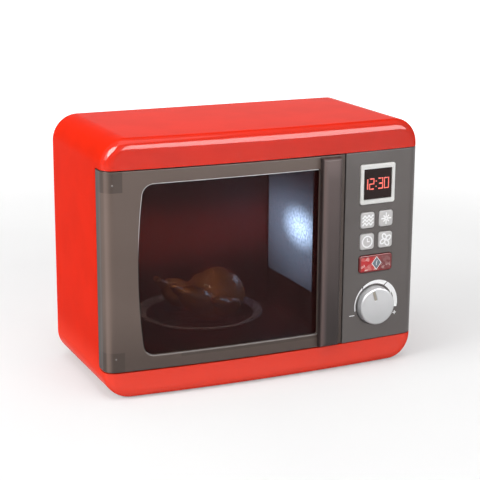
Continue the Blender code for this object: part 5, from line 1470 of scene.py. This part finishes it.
@dataclass
class Door(Tray):
    """Smoked door: frame with its window, pane and handle.

    Attributes:
        window: the opening.
        knuckle: width and height of the hinge blocks.
        hinge: X and Y of the hinge's axis.
        pin_hole, pin_depth: radius and depth of the holes for the hinge pins.
        pane_lap: how far the pane reaches behind the frame.
        pane: thickness of the pane.
        handle_edge: rounding of the handle.
        bead: width and thickness of the bead on the window's rim that carries a painted highlight.
        peg, peg_proud, peg_sunk: radius of the pegs, how far they stand out and reach in.
        peg_places: X and Z of the pegs.
    """

    side: int = -1
    seam: float = 69.55 * MM
    bottom: float = 24.5 * MM
    top: float = 192.8 * MM
    rear: float = -42.5 * MM
    corner: float = 4.1 * MM
    window: Window = Window()
    knuckle: Pair = (16 * MM, 19 * MM)
    hinge: Pair = (-140.3 * MM, -53.4 * MM)
    pin_hole: float = 1.8 * MM
    pin_depth: float = 13.4 * MM
    pane_lap: float = 3 * MM
    pane: float = 2 * MM
    handle_edge: float = 3.6 * MM
    bead: Pair = (0.75 * MM, 0.6 * MM)
    peg: float = 0.9 * MM
    peg_proud: float = 0.12 * MM
    peg_sunk: float = -0.5 * MM
    peg_places: tuple[Pair, Pair] = ((-137.5 * MM, 181.5 * MM), (-136.5 * MM, 36 * MM))

    def build(self) -> None:
        """Builds the door and dresses it."""
        self.build_frame()
        self.build_pane()
        self.build_handle()
        self.build_pegs()
        self.build_highlight_bead()

    def build_frame(self) -> None:
        """Builds the tray with its opening."""
        x, y = self.hinge
        outer = self.outer()
        hollow = self.hollow().carve(Carving.CUT, self.knuckles())
        upper = self.top - self.pin_depth, self.top + OVERRUN
        lower = self.bottom - OVERRUN, self.bottom + self.pin_depth
        ends = [((x, y, low), (x, y, high)) for low, high in (upper, lower)]
        holes, other = (Form.rod(self.pin_hole, *pair) for pair in ends)
        holes.add(other)
        opening = self.window.cutter(self.front, self.rear + OVERRUN)
        outer.carve(Carving.CUT, hollow, opening, holes)
        outer.piece("door_shell", "door", SHELL_GREY, "grey_plastic", ["door_frame"])

    def knuckles(self) -> Form:
        """The two blocks behind the skin that hold the hinge pins.

        Returns:
            Both blocks as one form.
        """
        wide, tall = self.knuckle
        left, face, back = -self.front.side, self.front.face, self.rear + 2 * OVERRUN
        low = Form.block((left, face, self.bottom), (left + wide, back, self.bottom + tall))
        return low.add(Form.block((left, face, self.top - tall), (left + wide, back, self.top)))

    def build_pane(self) -> None:
        """Builds the pane behind the opening."""
        near = self.front.face + self.front.skin + self.front.gap
        pane = Form.slab(self.window.outline(self.pane_lap), near, near + self.pane)
        pane.columns(36).shift_back(self.front.bow)
        pane.piece("window_pane", "door", PANE, "smoked_clear", ["door_window"])

    def build_handle(self) -> None:
        """Builds the handle bar."""
        low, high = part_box("door_handle")
        seat = self.front.face - self.front.gap
        handle = Form.block(low, (high.x, seat, high.z)).soften(lying_at(1, low.y), self.handle_edge, 10)
        handle.shift_back(self.front.bow, behind=seat - WELD)
        handle.piece("handle", "door", HANDLE_GREY, "handle_plastic", ["door_handle"])

    def build_pegs(self) -> None:
        """Builds the small round pegs that show on the hinge blocks."""
        radius, proud, sunk = self.peg, self.peg_proud, self.peg_sunk
        profile = [(0, proud), (radius * 7 / 9, proud), (radius, 0), (radius, sunk), (0, sunk)]
        places = [(x, self.front.plan(x), z) for x, z in self.peg_places]
        first, second = (Form.turned(profile, place, (0, -1, 0), 24) for place in places)
        first.add(second).piece("hinge_pegs", "door", INNER_GREY, "grey_plastic")

    def build_highlight_bead(self) -> None:
        """Builds the fine bead on the opening's rim, which carries a painted highlight line."""
        rim = self.window.rim
        bead = Form.strokes([Stroke(tuple(self.window.outline(rim * 0.3)), True)], *self.bead)
        bead.shift_back(lambda x: self.front.surface(x) + rim * 0.42)
        bead.piece("window_highlight", "door", HIGHLIGHT_BEAD, "smoked_clear", crease=60)


class Symbol(Enum):
    """Generic marks on the four square buttons."""

    WAVES = "waves_button"
    FROST = "frost_button"
    CLOCK = "clock_button"
    FAN = "fan_button"

    def strokes(self, centre: Pair, size: float) -> list[Stroke]:
        """The mark's lines.

        Args:
            centre: middle of the button.
            size: half the width of the mark.

        Returns:
            The lines.
        """
        x0, z0 = centre
        if self is Symbol.WAVES:
            wave = [(x, size * 0.19 * math.sin(x / size * TURN * 1.4)) for x in even_steps(-size, size, 28)]
            levels = (z0 + row * size * 0.56 for row in (-1, 0, 1))
            return [Stroke(tuple((x0 + x, level + z) for x, z in wave)) for level in levels]
        if self is Symbol.FROST:
            arms = [(TURN * (index / 8 + 0.25), 0.7 if index % 2 else 0.92) for index in range(8)]
            ends = [[polar(centre, size * reach, turn) for reach in (0.1, far)] for turn, far in arms]
            return [Stroke(tuple(pair)) for pair in ends]
        if self is Symbol.CLOCK:
            hands = Stroke(((x0, z0 + size * 0.55), (x0, z0), (x0 + size * 0.42, z0)))
            return [Stroke.ring(centre, (size * 0.86, size * 0.86)), hands]
        turns = [index / 4 + 0.07 for index in range(4)]
        blade = size * 0.46, size * 0.32
        return [Stroke.ring(polar(centre, size * 0.58, turn * TURN), blade, turn + 0.03) for turn in turns]


@dataclass
class PushButton:
    """A sprung button with its mark.

    Attributes:
        front: the shared front.
        node: the CAD node that it stands for, also its body.
        corner: rounding of the cap's corners.
        edge: rounding of the cap's front edge.
        lap: how far the flange reaches behind the panel.
        flange: thickness of the flange.
        stem: radius of the stem.
        mark: half the width of the mark.
        line: width of the mark's lines.
        ink: thickness of the print.
    """

    front: Front
    node: str
    corner: float = 2.5 * MM
    edge: float = 0.9 * MM
    lap: float = 0.7 * MM
    flange: float = 1.2 * MM
    stem: float = 2.5 * MM
    mark: float = 5.6 * MM
    line: float = 1.3 * MM
    ink: float = 0.2 * MM

    def cap(self) -> tuple[Form, Pair, float]:
        """The cap with its flange and stem.

        Returns:
            The form, the middle of its face and the Y of its face at X = 0.
        """
        low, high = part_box(self.node)
        centre = x, z = (low.x + high.x) / 2, (low.z + high.z) / 2
        left, right = low.x + self.lap, high.x - self.lap
        face = low.y - min(self.front.bow(left), self.front.bow(right))
        near = self.front.plan(high.x, self.front.skin) + self.front.gap
        middle = near + self.flange / 2
        cap = Form.block((left, face, low.z + self.lap), (right, middle, high.z - self.lap))
        cap.soften(along(1), self.corner).soften(lying_at(1, face), self.edge, 5)
        cap.columns(10).shift_back(self.front.bow, self.front.face)
        flange = Form.block((low.x, near, low.z), (high.x, near + self.flange, high.z))
        stem = Form.rod(self.stem, (x, middle, z), (x, high.y, z))
        return cap.carve(Carving.JOIN, flange, stem), centre, face

    def lay(self, form: Form, name: str, face: float, finish: Finish) -> None:
        """Lays a mark on the cap's face, given its Y at X = 0, and makes it a piece."""
        form.shift_back(lambda x: face + self.front.bow(x))
        form.piece(name, self.node, finish, "white_plastic")

    def build(self) -> None:
        """Builds the button with its symbol."""
        cap, centre, face = self.cap()
        cap.piece(self.node + "_cap", self.node, BUTTON_GREY, "button_plastic", [self.node])
        lines = Symbol(self.node).strokes(centre, self.mark)
        self.lay(Form.strokes(lines, self.line, self.ink), self.node + "_mark", face, INK)


@dataclass
class StartButton(PushButton):
    """The long clear button with its diamond.

    Attributes:
        node: the CAD node that it stands for, also its body.
        line: width of the diamond's line.
        diamond: half the width and half the height of the diamond.
        diamond_x: X of its middle.
        bolt: the small line in it, from its middle.
        bolt_line: width of that line.
        filling: thickness of the diamond's filling.
    """

    node: str = "start_button"
    line: float = 0.85 * MM
    diamond: Pair = (4.6 * MM, 5.7 * MM)
    diamond_x: float = 103.3 * MM
    bolt: tuple[Pair, ...] = ((0.6 * MM, 2.4 * MM), (-0.2 * MM, 0.2 * MM), (-0.2 * MM, -2 * MM))
    bolt_line: float = 0.7 * MM
    filling: float = 0.05 * MM

    def build(self) -> None:
        """Builds the button with its diamond."""
        cap, centre, face = self.cap()
        cap.piece("start_lens", self.node, CLEAR_RED, "red_clear", [self.node])
        x, z = self.diamond_x, centre[1]
        wide, tall = self.diamond
        right, top, left, bottom = (x + wide, z), (x, z + tall), (x - wide, z), (x, z - tall)
        line = Form.strokes([Stroke((right, top, left, bottom), True)], self.line, self.ink)
        bolt = Stroke(tuple((x + along_x, z + up) for along_x, up in self.bolt))
        self.lay(line.add(Form.strokes([bolt], self.bolt_line, self.ink)), "start_diamond", face, INK)
        filling = Form.ribbon([top, left, bottom], [top, right, bottom], self.filling)
        self.lay(filling, "start_diamond_middle", face, BLUE_INK)


@dataclass
class Display:
    """White bezel, dark screen and lit digits.

    Attributes:
        front: the shared front.
        corner, edge: rounding of the bezel's corners and of its front edges.
        screen: half the width and half the height of the screen's opening.
        screen_corner: rounding of the opening's corners.
        recess: how far the screen lies behind the bezel.
        glass: thickness of the screen.
        digit: width and height of a digit, between its strokes' middles.
        lefts: X of the left of each digit.
        one, colon: X of the narrow digit and of the colon.
        dots: distances from mid height between which a dot of the colon lies.
        inset: how much shorter the three's middle stroke is.
        stroke, proud: width and thickness of a stroke.
    """

    front: Front
    corner: float = 2 * MM
    edge: float = 0.5 * MM
    screen: Pair = (14.35 * MM, 13.45 * MM)
    screen_corner: float = 0.6 * MM
    recess: float = 0.8 * MM
    glass: float = 2 * MM
    digit: Pair = (4.3 * MM, 8.9 * MM)
    lefts: Colour = (94.3 * MM, 103.2 * MM, 109.3 * MM)
    one: float = 92.3 * MM
    colon: float = 100.9 * MM
    dots: Pair = (1.9 * MM, 2.7 * MM)
    inset: float = 0.6 * MM
    stroke: float = 1.15 * MM
    proud: float = 0.12 * MM

    def build(self) -> None:
        """Builds the display and dresses it."""
        low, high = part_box("display_bezel")
        x, z = (low.x + high.x) / 2, (low.z + high.z) / 2
        face, gap = low.y - self.front.bow(low.x), self.front.gap
        bezel = Form.block((low.x, face, low.z), high)
        bezel.soften(along(1), self.corner).soften(lying_at(1, face), self.edge, 4)
        bezel.columns(14).shift_back(self.front.bow, self.front.face)
        wide, tall = self.screen
        opening = Form.block((x - wide, face - OVERRUN, z - tall), (x + wide, high.y + OVERRUN, z + tall))
        bezel.carve(Carving.CUT, opening.soften(along(1), self.screen_corner, 3))
        bezel.piece("bezel", "case", WHITE, "white_plastic", ["display_bezel"])
        near, wide, tall = face + self.recess, wide - gap, tall - gap
        lens = Form.block((x - wide, near, z - tall), (x + wide, near + self.glass, z + tall))
        lens.columns(12).shift_back(self.front.bow)
        lens.piece("screen", "case", SCREEN, "black_plastic", ["display_lens"])
        self.build_digits(near, z)

    def build_digits(self, near: float, z: float) -> None:
        """Builds the lit digits on the screen.

        Args:
            near: Y of the screen's face at X = 0.
            z: height of the screen's middle.
        """
        wide, tall = self.digit
        low, high = z - tall / 2, z + tall / 2
        two, three, zero = ((left, left + wide) for left in self.lefts)
        near_dot, far_dot = self.dots
        lines = [
            Stroke(((self.one, low), (self.one, high))),
            Stroke((*((x, high) for x in two), *((x, z) for x in two[::-1]), *((x, low) for x in two))),
            Stroke((*((x, high) for x in three), *((x, low) for x in three[::-1]))),
            Stroke(((three[0] + self.inset, z), (three[1], z))),
            Stroke(((zero[0], low), *((x, high) for x in zero), (zero[1], low)), True),
            Stroke(((self.colon, z - far_dot), (self.colon, z - near_dot))),
            Stroke(((self.colon, z + near_dot), (self.colon, z + far_dot))),
        ]
        digits = Form.strokes(lines, self.stroke, self.proud)
        digits.shift_back(lambda x: near + self.front.bow(x))
        digits.piece("display_digits", "case", DIGITS, "red_clear")


@dataclass
class ControlPanel(Tray):
    """Grey panel with its holes, the knob's seat and the printed scale.

    Attributes:
        seat, seat_floor, seat_wall: radius, Y and thickness of the knob's seat.
        boss: how far the seat's back reaches round it.
        knob: X and Z of the knob's axis.
        shaft_hole: radius of the hole for the shaft.
        post: radius of the board's posts.
        board: low and high corners of the posts' square, in X and Z.
        board_front: Y where the posts end.
        show_gap: dark gap round what comes through.
        lap, hole_corner: a button's reach behind the panel and rounding of its hole.
        bezel_corner: rounding of the display's hole.
        scale: X and Z of the middle of the scale's outer line, and its radius.
        scale_gap: gap between the seat and the scale.
        sweep: angles of the scale's ends, as shares of a turn.
        divisions: angles of its divisions, as shares of a turn.
        division, sign: widths of a division's and of a sign's line.
        over: how far the divisions reach past the scale.
        ink: thickness of the print.
        signs: ends, in X and Z, of the lines of the minus and the plus.
    """

    side: int = 1
    seam: float = 70.45 * MM
    bottom: float = 24.1 * MM
    top: float = 193.2 * MM
    rear: float = -41.9 * MM
    corner: float = 4.5 * MM
    seat: float = 18.3 * MM
    seat_floor: float = -62.7 * MM
    seat_wall: float = 2.2 * MM
    boss: float = 2 * MM
    knob: Pair = (102.5 * MM, 55.65 * MM)
    shaft_hole: float = 3.3 * MM
    post: float = 2.5 * MM
    board: tuple[Pair, Pair] = ((78.5 * MM, 44.1 * MM), (126.5 * MM, 179.2 * MM))
    board_front: float = -49.7 * MM
    show_gap: float = 0.5 * MM
    lap: float = 0.7 * MM
    hole_corner: float = 2.5 * MM
    bezel_corner: float = 2 * MM
    scale: Colour = (104.6 * MM, 55.5 * MM, 22.3 * MM)
    scale_gap: float = 0.9 * MM
    sweep: Pair = (0.53, -0.035)
    divisions: Pair = (0.358, 0.165)
    division: float = 1.2 * MM
    sign: float = 0.7 * MM
    over: float = 0.3 * MM
    ink: float = 0.08 * MM
    signs: tuple[tuple[Pair, Pair], ...] = (
        ((77.3 * MM, 48 * MM), (82.6 * MM, 48 * MM)),
        ((122.6 * MM, 45.3 * MM), (126.2 * MM, 45.3 * MM)),
        ((124.4 * MM, 43.5 * MM), (124.4 * MM, 47.1 * MM)),
    )

    def build(self) -> None:
        """Builds the panel and its print."""
        self.build_tray()
        self.build_scale()
        signs = Form.strokes([Stroke(ends) for ends in self.signs], self.sign, 2 * self.ink)
        self.lay("dial_signs", signs)

    def hole(self, node: str, lap: float, radius: float) -> Form:
        """Cutter for a piece that comes through the panel.

        Args:
            node: the CAD node that comes through.
            lap: how far its flange reaches past the hole.
            radius: rounding of its corners.

        Returns:
            The cutter.
        """
        low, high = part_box(node)
        grow = self.show_gap - lap
        near, far = self.front.face - OVERRUN, self.front.face + 2 * OVERRUN
        form = Form.block((low.x - grow, near, low.z - grow), (high.x + grow, far, high.z + grow))
        return form.soften(along(1), radius + self.show_gap)

    def build_tray(self) -> None:
        """Builds the tray with its holes and seat."""
        front, (x, z), floor = self.front, self.knob, self.seat_floor
        tray = self.outer().carve(Carving.CUT, self.hollow())
        (left, low), (right, high) = self.board
        places = [(left, low), (right, low), (left, high), (right, high)]
        boss = Form.rod(self.seat + self.boss, (x, floor - front.gap, z), (x, floor + self.seat_wall, z))
        ends = [((x, front.plan(x, front.skin / 2), z), (x, self.board_front, z)) for x, z in places]
        first, *others = (Form.rod(self.post, *pair) for pair in ends)
        tray.carve(Carving.JOIN, boss, first.add(*others))
        deep, tall, hole = floor - self.board_front, floor - front.face + OVERRUN, self.shaft_hole
        profile = [(0, deep), (hole, deep), (hole, 0), (self.seat, 0), (self.seat, tall), (0, tall)]
        seat = Form.turned(profile, (x, floor, z), (0, -1, 0))
        holes = self.hole("display_bezel", 0, self.bezel_corner)
        for node in ("start_button", *[symbol.value for symbol in Symbol]):
            holes.add(self.hole(node, self.lap, self.hole_corner))
        tray.carve(Carving.CUT, seat, holes)
        tray.piece("panel", "case", PANEL_GREY, "grey_plastic", ["control_panel"])

    def build_scale(self) -> None:
        """Builds the printed crescent round the knob and its divisions."""
        *middle, outer = self.scale
        inner = self.seat + self.scale_gap
        start, end = self.sweep
        turns = even_steps(start * TURN, end * TURN, 64)
        circles = ((middle, outer), (self.knob, inner))
        edges = [[polar(*circle, turn) for turn in turns] for circle in circles]
        self.lay("dial_scale", Form.ribbon(*edges, self.ink))
        lines = []
        for turn in (share * TURN for share in self.divisions):
            near = polar(self.knob, inner - self.over, turn)
            lines.append(Stroke((near, polar(middle, outer + self.over, turn))))
        marks = Form.strokes(lines, self.division, 4 * self.ink)
        self.lay("dial_divisions", marks, DARK_INK, "grey_plastic")

    def lay(self, name: str, form: Form, finish: Finish = INK, slot: str = "white_plastic") -> None:
        """Lays a print on the panel's bowed face and makes it a piece."""
        form.shift_back(self.front.surface).piece(name, "case", finish, slot)


@dataclass
class TimerKnob:
    """Silver knob with its pointer groove.

    Attributes:
        axis: X and Z of its axis.
        back, face: Y of its back and of its face.
        radius, face_radius: radius at its back and at its face.
        edge, back_edge: rounding of its face's and of its back's edge.
        dish: how far its face is hollowed.
        groove: width, length and depth of the groove.
        groove_edge: rounding of the groove's floor.
        offset: how far out the groove's middle lies.
        tilt: how far the groove leans from upright.
        shaft, socket: radius and depth of the shaft's socket.
    """

    axis: Pair = (102.5 * MM, 55.65 * MM)
    back: float = -63 * MM
    face: float = -71.4 * MM
    radius: float = 17.3 * MM
    face_radius: float = 16.6 * MM
    edge: float = 1.4 * MM
    back_edge: float = 0.3 * MM
    dish: float = 0.25 * MM
    groove: Colour = (3.4 * MM, 9.4 * MM, 0.8 * MM)
    groove_edge: float = 0.3 * MM
    offset: float = 10 * MM
    tilt: float = math.radians(17)
    shaft: float = 3.3 * MM
    socket: float = 5.3 * MM

    def build(self) -> None:
        """Builds the knob and dresses it."""
        (x, z), length = self.axis, self.back - self.face
        corners = [
            (0, length - self.dish, 0),
            (self.face_radius * 0.5, length - self.dish * 0.7, 0),
            (self.face_radius, length, self.edge),
            (self.radius, 0, self.back_edge),
            (self.shaft, 0, 0),
            (self.shaft, self.socket, 0),
            (0, self.socket, 0),
        ]
        knob = Form.turned(rounded_outline(corners), (x, self.back, z), (0, -1, 0))
        wide, long, deep = self.groove
        place = Matrix.Translation((x, self.face, z)) @ Matrix.Rotation(-self.tilt, 4, "Y")

        def bar(across: float, near: float, far: float, up: float) -> Form:
            """An upright bar round the groove's middle, from its half sizes and its Y."""
            return Form.block((-across, near, self.offset - up), (across, far, self.offset + up))

        groove = bar(wide / 2, -deep, deep, long / 2).soften(along(1), wide * 0.42)
        knob.carve(Carving.CUT, groove.soften(lying_at(1, deep), self.groove_edge, 3).move(place))
        knob.piece("knob", "knob", SILVER, "silver_plastic", ["timer_knob"])
        pointer = bar(wide * 0.36, deep * 0.55, deep * 1.1, long * 0.45).soften(along(1), wide * 0.3, 6)
        pointer.move(place).piece("knob_pointer", "knob", POINTER, "silver_plastic")


@dataclass
class Plate:
    """Turned plate with a raised rim.

    Attributes:
        axis: X and Y of its axis.
        top: height of its flat.
        thickness: its thickness.
        rise: how far the rim rises.
        radius, base, well: radius of the rim, of the flat and where the slope flattens.
        bend, lip, under: roundings of the slope, and of the rim above and below.
        hub, hub_low: radius and underside of the hub.
        socket, socket_top: radius of the hub's six-sided socket and where it ends.
    """

    axis: Pair = (-34 * MM, 7.6 * MM)
    top: float = 35 * MM
    thickness: float = 2 * MM
    rise: float = 13 * MM
    radius: float = 56.5 * MM
    base: float = 36 * MM
    well: float = 48 * MM
    bend: float = 6 * MM
    lip: float = 0.6 * MM
    under: float = 0.5 * MM
    hub: float = 11 * MM
    hub_low: float = 30.1 * MM
    socket: float = 7.35 * MM
    socket_top: float = 34.1 * MM

    def build(self) -> None:
        """Builds the plate and dresses it."""
        top, thick, bend = self.top, self.thickness, self.bend
        rim, half = top + self.rise, thick / 2
        corners = [
            (0, top, 0),
            (self.base, top, bend),
            (self.well, rim - thick, bend),
            (self.radius - half, rim, self.lip),
            (self.radius, rim - half, self.lip),
            (self.radius - half, rim - thick, self.under),
            (self.well + half, rim - 2 * thick, bend),
            (self.base + half, top - thick, bend),
            (self.hub, top - thick, 0),
            (self.hub, self.hub_low, 0),
            (0, self.hub_low, 0),
        ]
        plate = Form.turned(rounded_outline(corners), (*self.axis, 0), (0, 0, 1))
        socket = [polar(self.axis, self.socket, TURN * index / 6) for index in range(6)]
        plate.carve(Carving.CUT, Form.slab(socket, self.hub_low - OVERRUN, self.socket_top, False))
        plate.piece("plate", "plate", PLATE_DARK, "plate_plastic", ["turntable_plate"])


@dataclass
class Chicken:
    """Pretend roast chicken with two legs and two folded wings.

    Attributes:
        axis: X and Y of its middle.
        base: height that it lies on.
        turn: which way its legs point.
        voxel: fineness of its skin.
        ripple: how far the skin ripples.
    """

    axis: Pair = (-34 * MM, 7.6 * MM)
    base: float = 35.3 * MM
    turn: float = math.radians(192)
    voxel: float = 0.9 * MM
    ripple: float = 0.5 * MM

    def lump(self, size: Sequence[float], place: Sequence[float], tilt: float = 0) -> Form:
        """One rounded lump of the bird.

        Args:
            size: its size in millimetres.
            place: its middle, in millimetres along, across and up the bird.
            tilt: how far it leans up, in degrees.

        Returns:
            The lump.
        """
        form = Form()
        bmesh.ops.create_uvsphere(form.bm, u_segments=40, v_segments=24, radius=1)
        stand = Matrix.Translation((*self.axis, self.base)) @ Matrix.Rotation(self.turn, 4, "Z")
        lean = Matrix.Rotation(-math.radians(tilt), 4, "Y") @ Matrix.Diagonal((*(Vector(size) * MM / 2), 1))
        return form.move(stand @ Matrix.Translation(Vector(place) * MM) @ lean)

    def build(self) -> None:
        """Builds the bird and dresses it."""
        bird = self.lump((58, 52, 51), (-16, 0, 23))
        bird.add(self.lump((40, 30, 40), (-20, 9, 26), 8), self.lump((40, 30, 40), (-20, -9, 26), 8))
        for side in (-1, 1):
            bird.add(
                self.lump((46, 22, 25), (11, side * 15, 25), 32),
                self.lump((16, 9, 9), (30.5, side * 13.5, 37.2), 41),
                self.lump((7, 10, 7), (35.5, side * 13.2, 41.6), 41),
                self.lump((30, 12, 17), (-13, side * 24, 18)),
                self.lump((20, 9, 9), (-4, side * 27, 24), 30),
            )
        helper = bird.as_object("bird_lumps")
        remesh = helper.modifiers.new("skin", "REMESH")
        remesh.mode = "VOXEL"
        remesh.voxel_size = self.voxel
        skin = Form(settled(helper))
        every_way = {"use_axis_x": True, "use_axis_y": True, "use_axis_z": True}
        for _ in range(6):
            bmesh.ops.smooth_vert(skin.bm, verts=skin.bm.verts, factor=0.5, **every_way)
        skin.bm.normal_update()
        for vert in skin.bm.verts:
            broad, fine = noise.noise(vert.co * 90), noise.noise(vert.co * 260)
            vert.co += vert.normal * (broad * self.ripple + fine * self.ripple * 0.35)
        cut = skin.slice((0, 0, self.base), (0, 0, 1), clear_inner=True)["geom_cut"]
        rim = [item for item in cut if isinstance(item, bmesh.types.BMEdge)]
        bmesh.ops.contextual_create(skin.bm, geom=rim)
        skin.clean().piece("roast_chicken", "chicken", SKIN, "chicken_plastic", ["toy_chicken"], 60)


@dataclass
class LitWall:
    """Frosted skin on the cavity's right wall whose glow is a painted pool of light from the lamp behind.

    Attributes:
        wall: X of the cavity's right wall.
        near, far: Y of its ends.
        low, high: its heights.
        corner: rounding of its corners.
        skin: its thickness.
    """

    wall: float = 60 * MM
    near: float = -35 * MM
    far: float = 63 * MM
    low: float = 62 * MM
    high: float = 187 * MM
    corner: float = 2 * MM
    skin: float = 0.5 * MM

    def build(self) -> None:
        """Builds the skin and dresses it."""
        places = ((self.near, self.low), (self.far, self.low), (self.far, self.high), (self.near, self.high))
        outline = rounded_outline([(*place, self.corner) for place in places], 5)
        turn = Matrix(((0, -1, 0, self.wall), (1, 0, 0, 0), (0, 0, 1, 0), (0, 0, 0, 1)))
        skin = Form.slab(outline, 0, self.skin).move(turn).clean()
        skin.piece("lit_wall", "case", LIGHT, "diffuser_plastic")


class Insides:
    """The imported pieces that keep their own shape, listed by their finish."""

    CARRIED_OVER = {
        COVER_RED: "rear_cover battery_door",
        STEEL: "rear_screw_1 rear_screw_2 rear_screw_3 rear_screw_4 handle_screw_upper handle_screw_lower "
        "battery_door_screw hinge_pin_top hinge_pin_bottom timer_switch knob_shaft battery_contact_upper "
        "battery_contact_lower idler_axle drive_motor motor_shaft",
        LINER_RED: "cavity_liner",
        LIGHT: "light_diffuser",
        WHITE: "lamp_holder",
        LAMP: "lamp_led start_led",
        INNER_GREY: "door_liner door_catch",
        BLACK: "door_switch display_module button_switch_1 button_switch_2 button_switch_3 button_switch_4 "
        "start_switch speaker battery_box gearbox_base turntable_spindle",
        BOARD: "control_board",
        CELL: "battery_1 battery_2 battery_3",
        NYLON: "idler_gear output_gear motor_pinion",
    }

    def build(self) -> None:
        """Dresses each of them in its finish."""
        for finish, names in self.CARRIED_OVER.items():
            for name in names.split():
                materials = frame["nodes"][name].data.materials
                materials.clear()
                materials.append(finish.material())
                LOG.info("%s: dressed in %s", name, finish.name)


@dataclass(frozen=True)
class Lamp:
    """A soft lamp.

    Attributes:
        name: its name.
        place: where it stands.
        target: the point that it faces.
        size: its width and height.
        power: its power in watts.
        colour: colour of its light.
        sheen: whether it only shows as a highlight on glossy surfaces.
    """

    name: str
    place: Colour
    target: Colour
    size: Pair
    power: float
    colour: Colour = (1.0, 1.0, 1.0)
    sheen: bool = False

    def build(self) -> None:
        """Adds the lamp to the scene."""
        data = bpy.data.lights.new(self.name, "AREA")
        data.shape = "ELLIPSE" if self.sheen else "RECTANGLE"
        data.size, data.size_y = self.size
        data.energy = self.power
        data.color = self.colour
        made = bpy.data.objects.new(self.name, data)
        made.visible_diffuse = not self.sheen
        made.visible_camera = False
        made.location = self.place
        made.rotation_mode = "QUATERNION"
        made.rotation_quaternion = (Vector(self.target) - Vector(self.place)).to_track_quat("-Z", "Y")
        bpy.context.scene.collection.objects.link(made)


@dataclass
class Studio:
    """Camera, floor, lights and background.

    Attributes:
        place: where the camera stands.
        azimuth, elevation, roll: which way it looks, how far down and how it leans, in degrees.
        lens: its focal length for a sensor 36 wide.
        floor: radius of the floor.
        rise: height of its upturned edge.
        lift: how much whiter the floor is seen near the object and far from it.
        lift_reach: distances where the first ends and the second starts.
        ambient: strength of the surroundings at the horizon and overhead.
        lamps: the soft lamps.
    """

    place: Colour = (-493.6 * MM, -1101.6 * MM, 421.6 * MM)
    azimuth: float = -24.21
    elevation: float = 14.51
    roll: float = 0.34
    lens: float = 105.91
    floor: float = 7.0
    rise: float = 0.7
    lift: Pair = (0.3, 0.9)
    lift_reach: Pair = (0.3, 1.6)
    ambient: Pair = (0.38, 0.6)
    lamps: tuple[Lamp, ...] = (
        Lamp("top_light", (-0.1, -0.2, 1.2), (0, 0, 0.15), (0.8, 0.8), 4.0),
        Lamp("left_light", (-1.6, -0.3, 1.0), (0, 0, 0.1), (1.0, 1.0), 17.5),
        Lamp("corner_light", (-0.8, -0.38, 0.85), (-0.1, 0, 0.15), (0.7, 0.7), 30.0, sheen=True),
        Lamp("band_light", (0.6, -1.22, 0.68), (0, 0, 0.2), (1.75, 1.15), 70.0, sheen=True),
        Lamp("front_light", (0.1, -1.6, 0.95), (0.02, 0, 0.1), (1.2, 0.8), 3.2),
        Lamp("cavity_lamp", (-0.08, -0.048, 0.15), (-0.062, 0, 0.05), (0.02, 0.02), 0.15, (1.0, 0.82, 0.62)),
    )

    def build(self) -> None:
        """Builds the whole studio."""
        self.build_camera()
        self.build_floor()
        for lamp in self.lamps:
            lamp.build()
        self.build_world()
        bpy.context.scene.view_settings.view_transform = "Standard"

    def build_camera(self) -> None:
        """Builds the camera of the photograph."""
        data = bpy.data.cameras.new("camera")
        data.lens = self.lens
        data.sensor_width = 36
        data.clip_end = 30
        camera = bpy.data.objects.new("camera", data)
        camera.matrix_world = (
            Matrix.Translation(self.place)
            @ Matrix.Rotation(math.radians(self.azimuth), 4, "Z")
            @ Matrix.Rotation(math.radians(90 - self.elevation), 4, "X")
            @ Matrix.Rotation(math.radians(self.roll), 4, "Z")
        )
        bpy.context.scene.collection.objects.link(camera)
        bpy.context.scene.camera = camera

    def build_floor(self) -> None:
        """Builds the pale floor, which keeps the object's shadow."""
        rim, rise = self.floor, self.rise
        turns = even_steps(TURN / 4, 0, 8)
        bend = [(rim - rise * math.cos(turn), rise - rise * math.sin(turn)) for turn in turns]
        floor = Form.turned([(0, 0), (rim / 3, 0), *bend], (0, 0, 0), (0, 0, 1), 64).as_object("floor")
        floor.data.shade_smooth()
        paper = Skin("floor_paper")
        away = paper.ramp(paper.vectors("LENGTH", paper.place), *self.lift_reach, *self.lift)
        pale, paler = (0.6, 0.6, 0.6), (0.63, 0.63, 0.63)
        paper.set(Base_Color=paper.effect(Effect.MOTTLE, Scale=3.0, First=pale, Second=paler))
        paper.set(Roughness=0.7, Specular_IOR_Level=0.2, Emission_Color=(1, 1, 1))
        paper.set(Emission_Strength=paper.maths("MULTIPLY", paper.seen(), away))
        floor.data.materials.append(paper.material)

    def build_world(self) -> None:
        """Builds the even light from all round."""
        world = bpy.data.worlds.new("studio")
        bpy.context.scene.world = world
        world.use_nodes = True
        shader = Shader(world.node_tree)
        background = world.node_tree.nodes["Background"].inputs
        up = shader.axes(shader.node("ShaderNodeTexCoord").outputs["Generated"])[2]
        shader.fill(background["Color"], (1, 1, 1))
        strength = shader.maths("MAXIMUM", shader.seen(), shader.ramp(up, 0.1, 0.8, *self.ambient))
        shader.fill(background["Strength"], strength)


def main() -> None:
    """Builds the oven's looks and its studio."""
    logging.basicConfig(level=logging.INFO, format="%(message)s")
    front = Front()
    Studio().build()
    Insides().build()
    LitWall().build()
    Housing(front).build()
    Door(front).build()
    ControlPanel(front).build()
    Display(front).build()
    for symbol in Symbol:
        PushButton(front, symbol.value).build()
    StartButton(front).build()
    TimerKnob().build()
    Plate().build()
    Chicken().build()


if __name__ == "__main__":
    main()
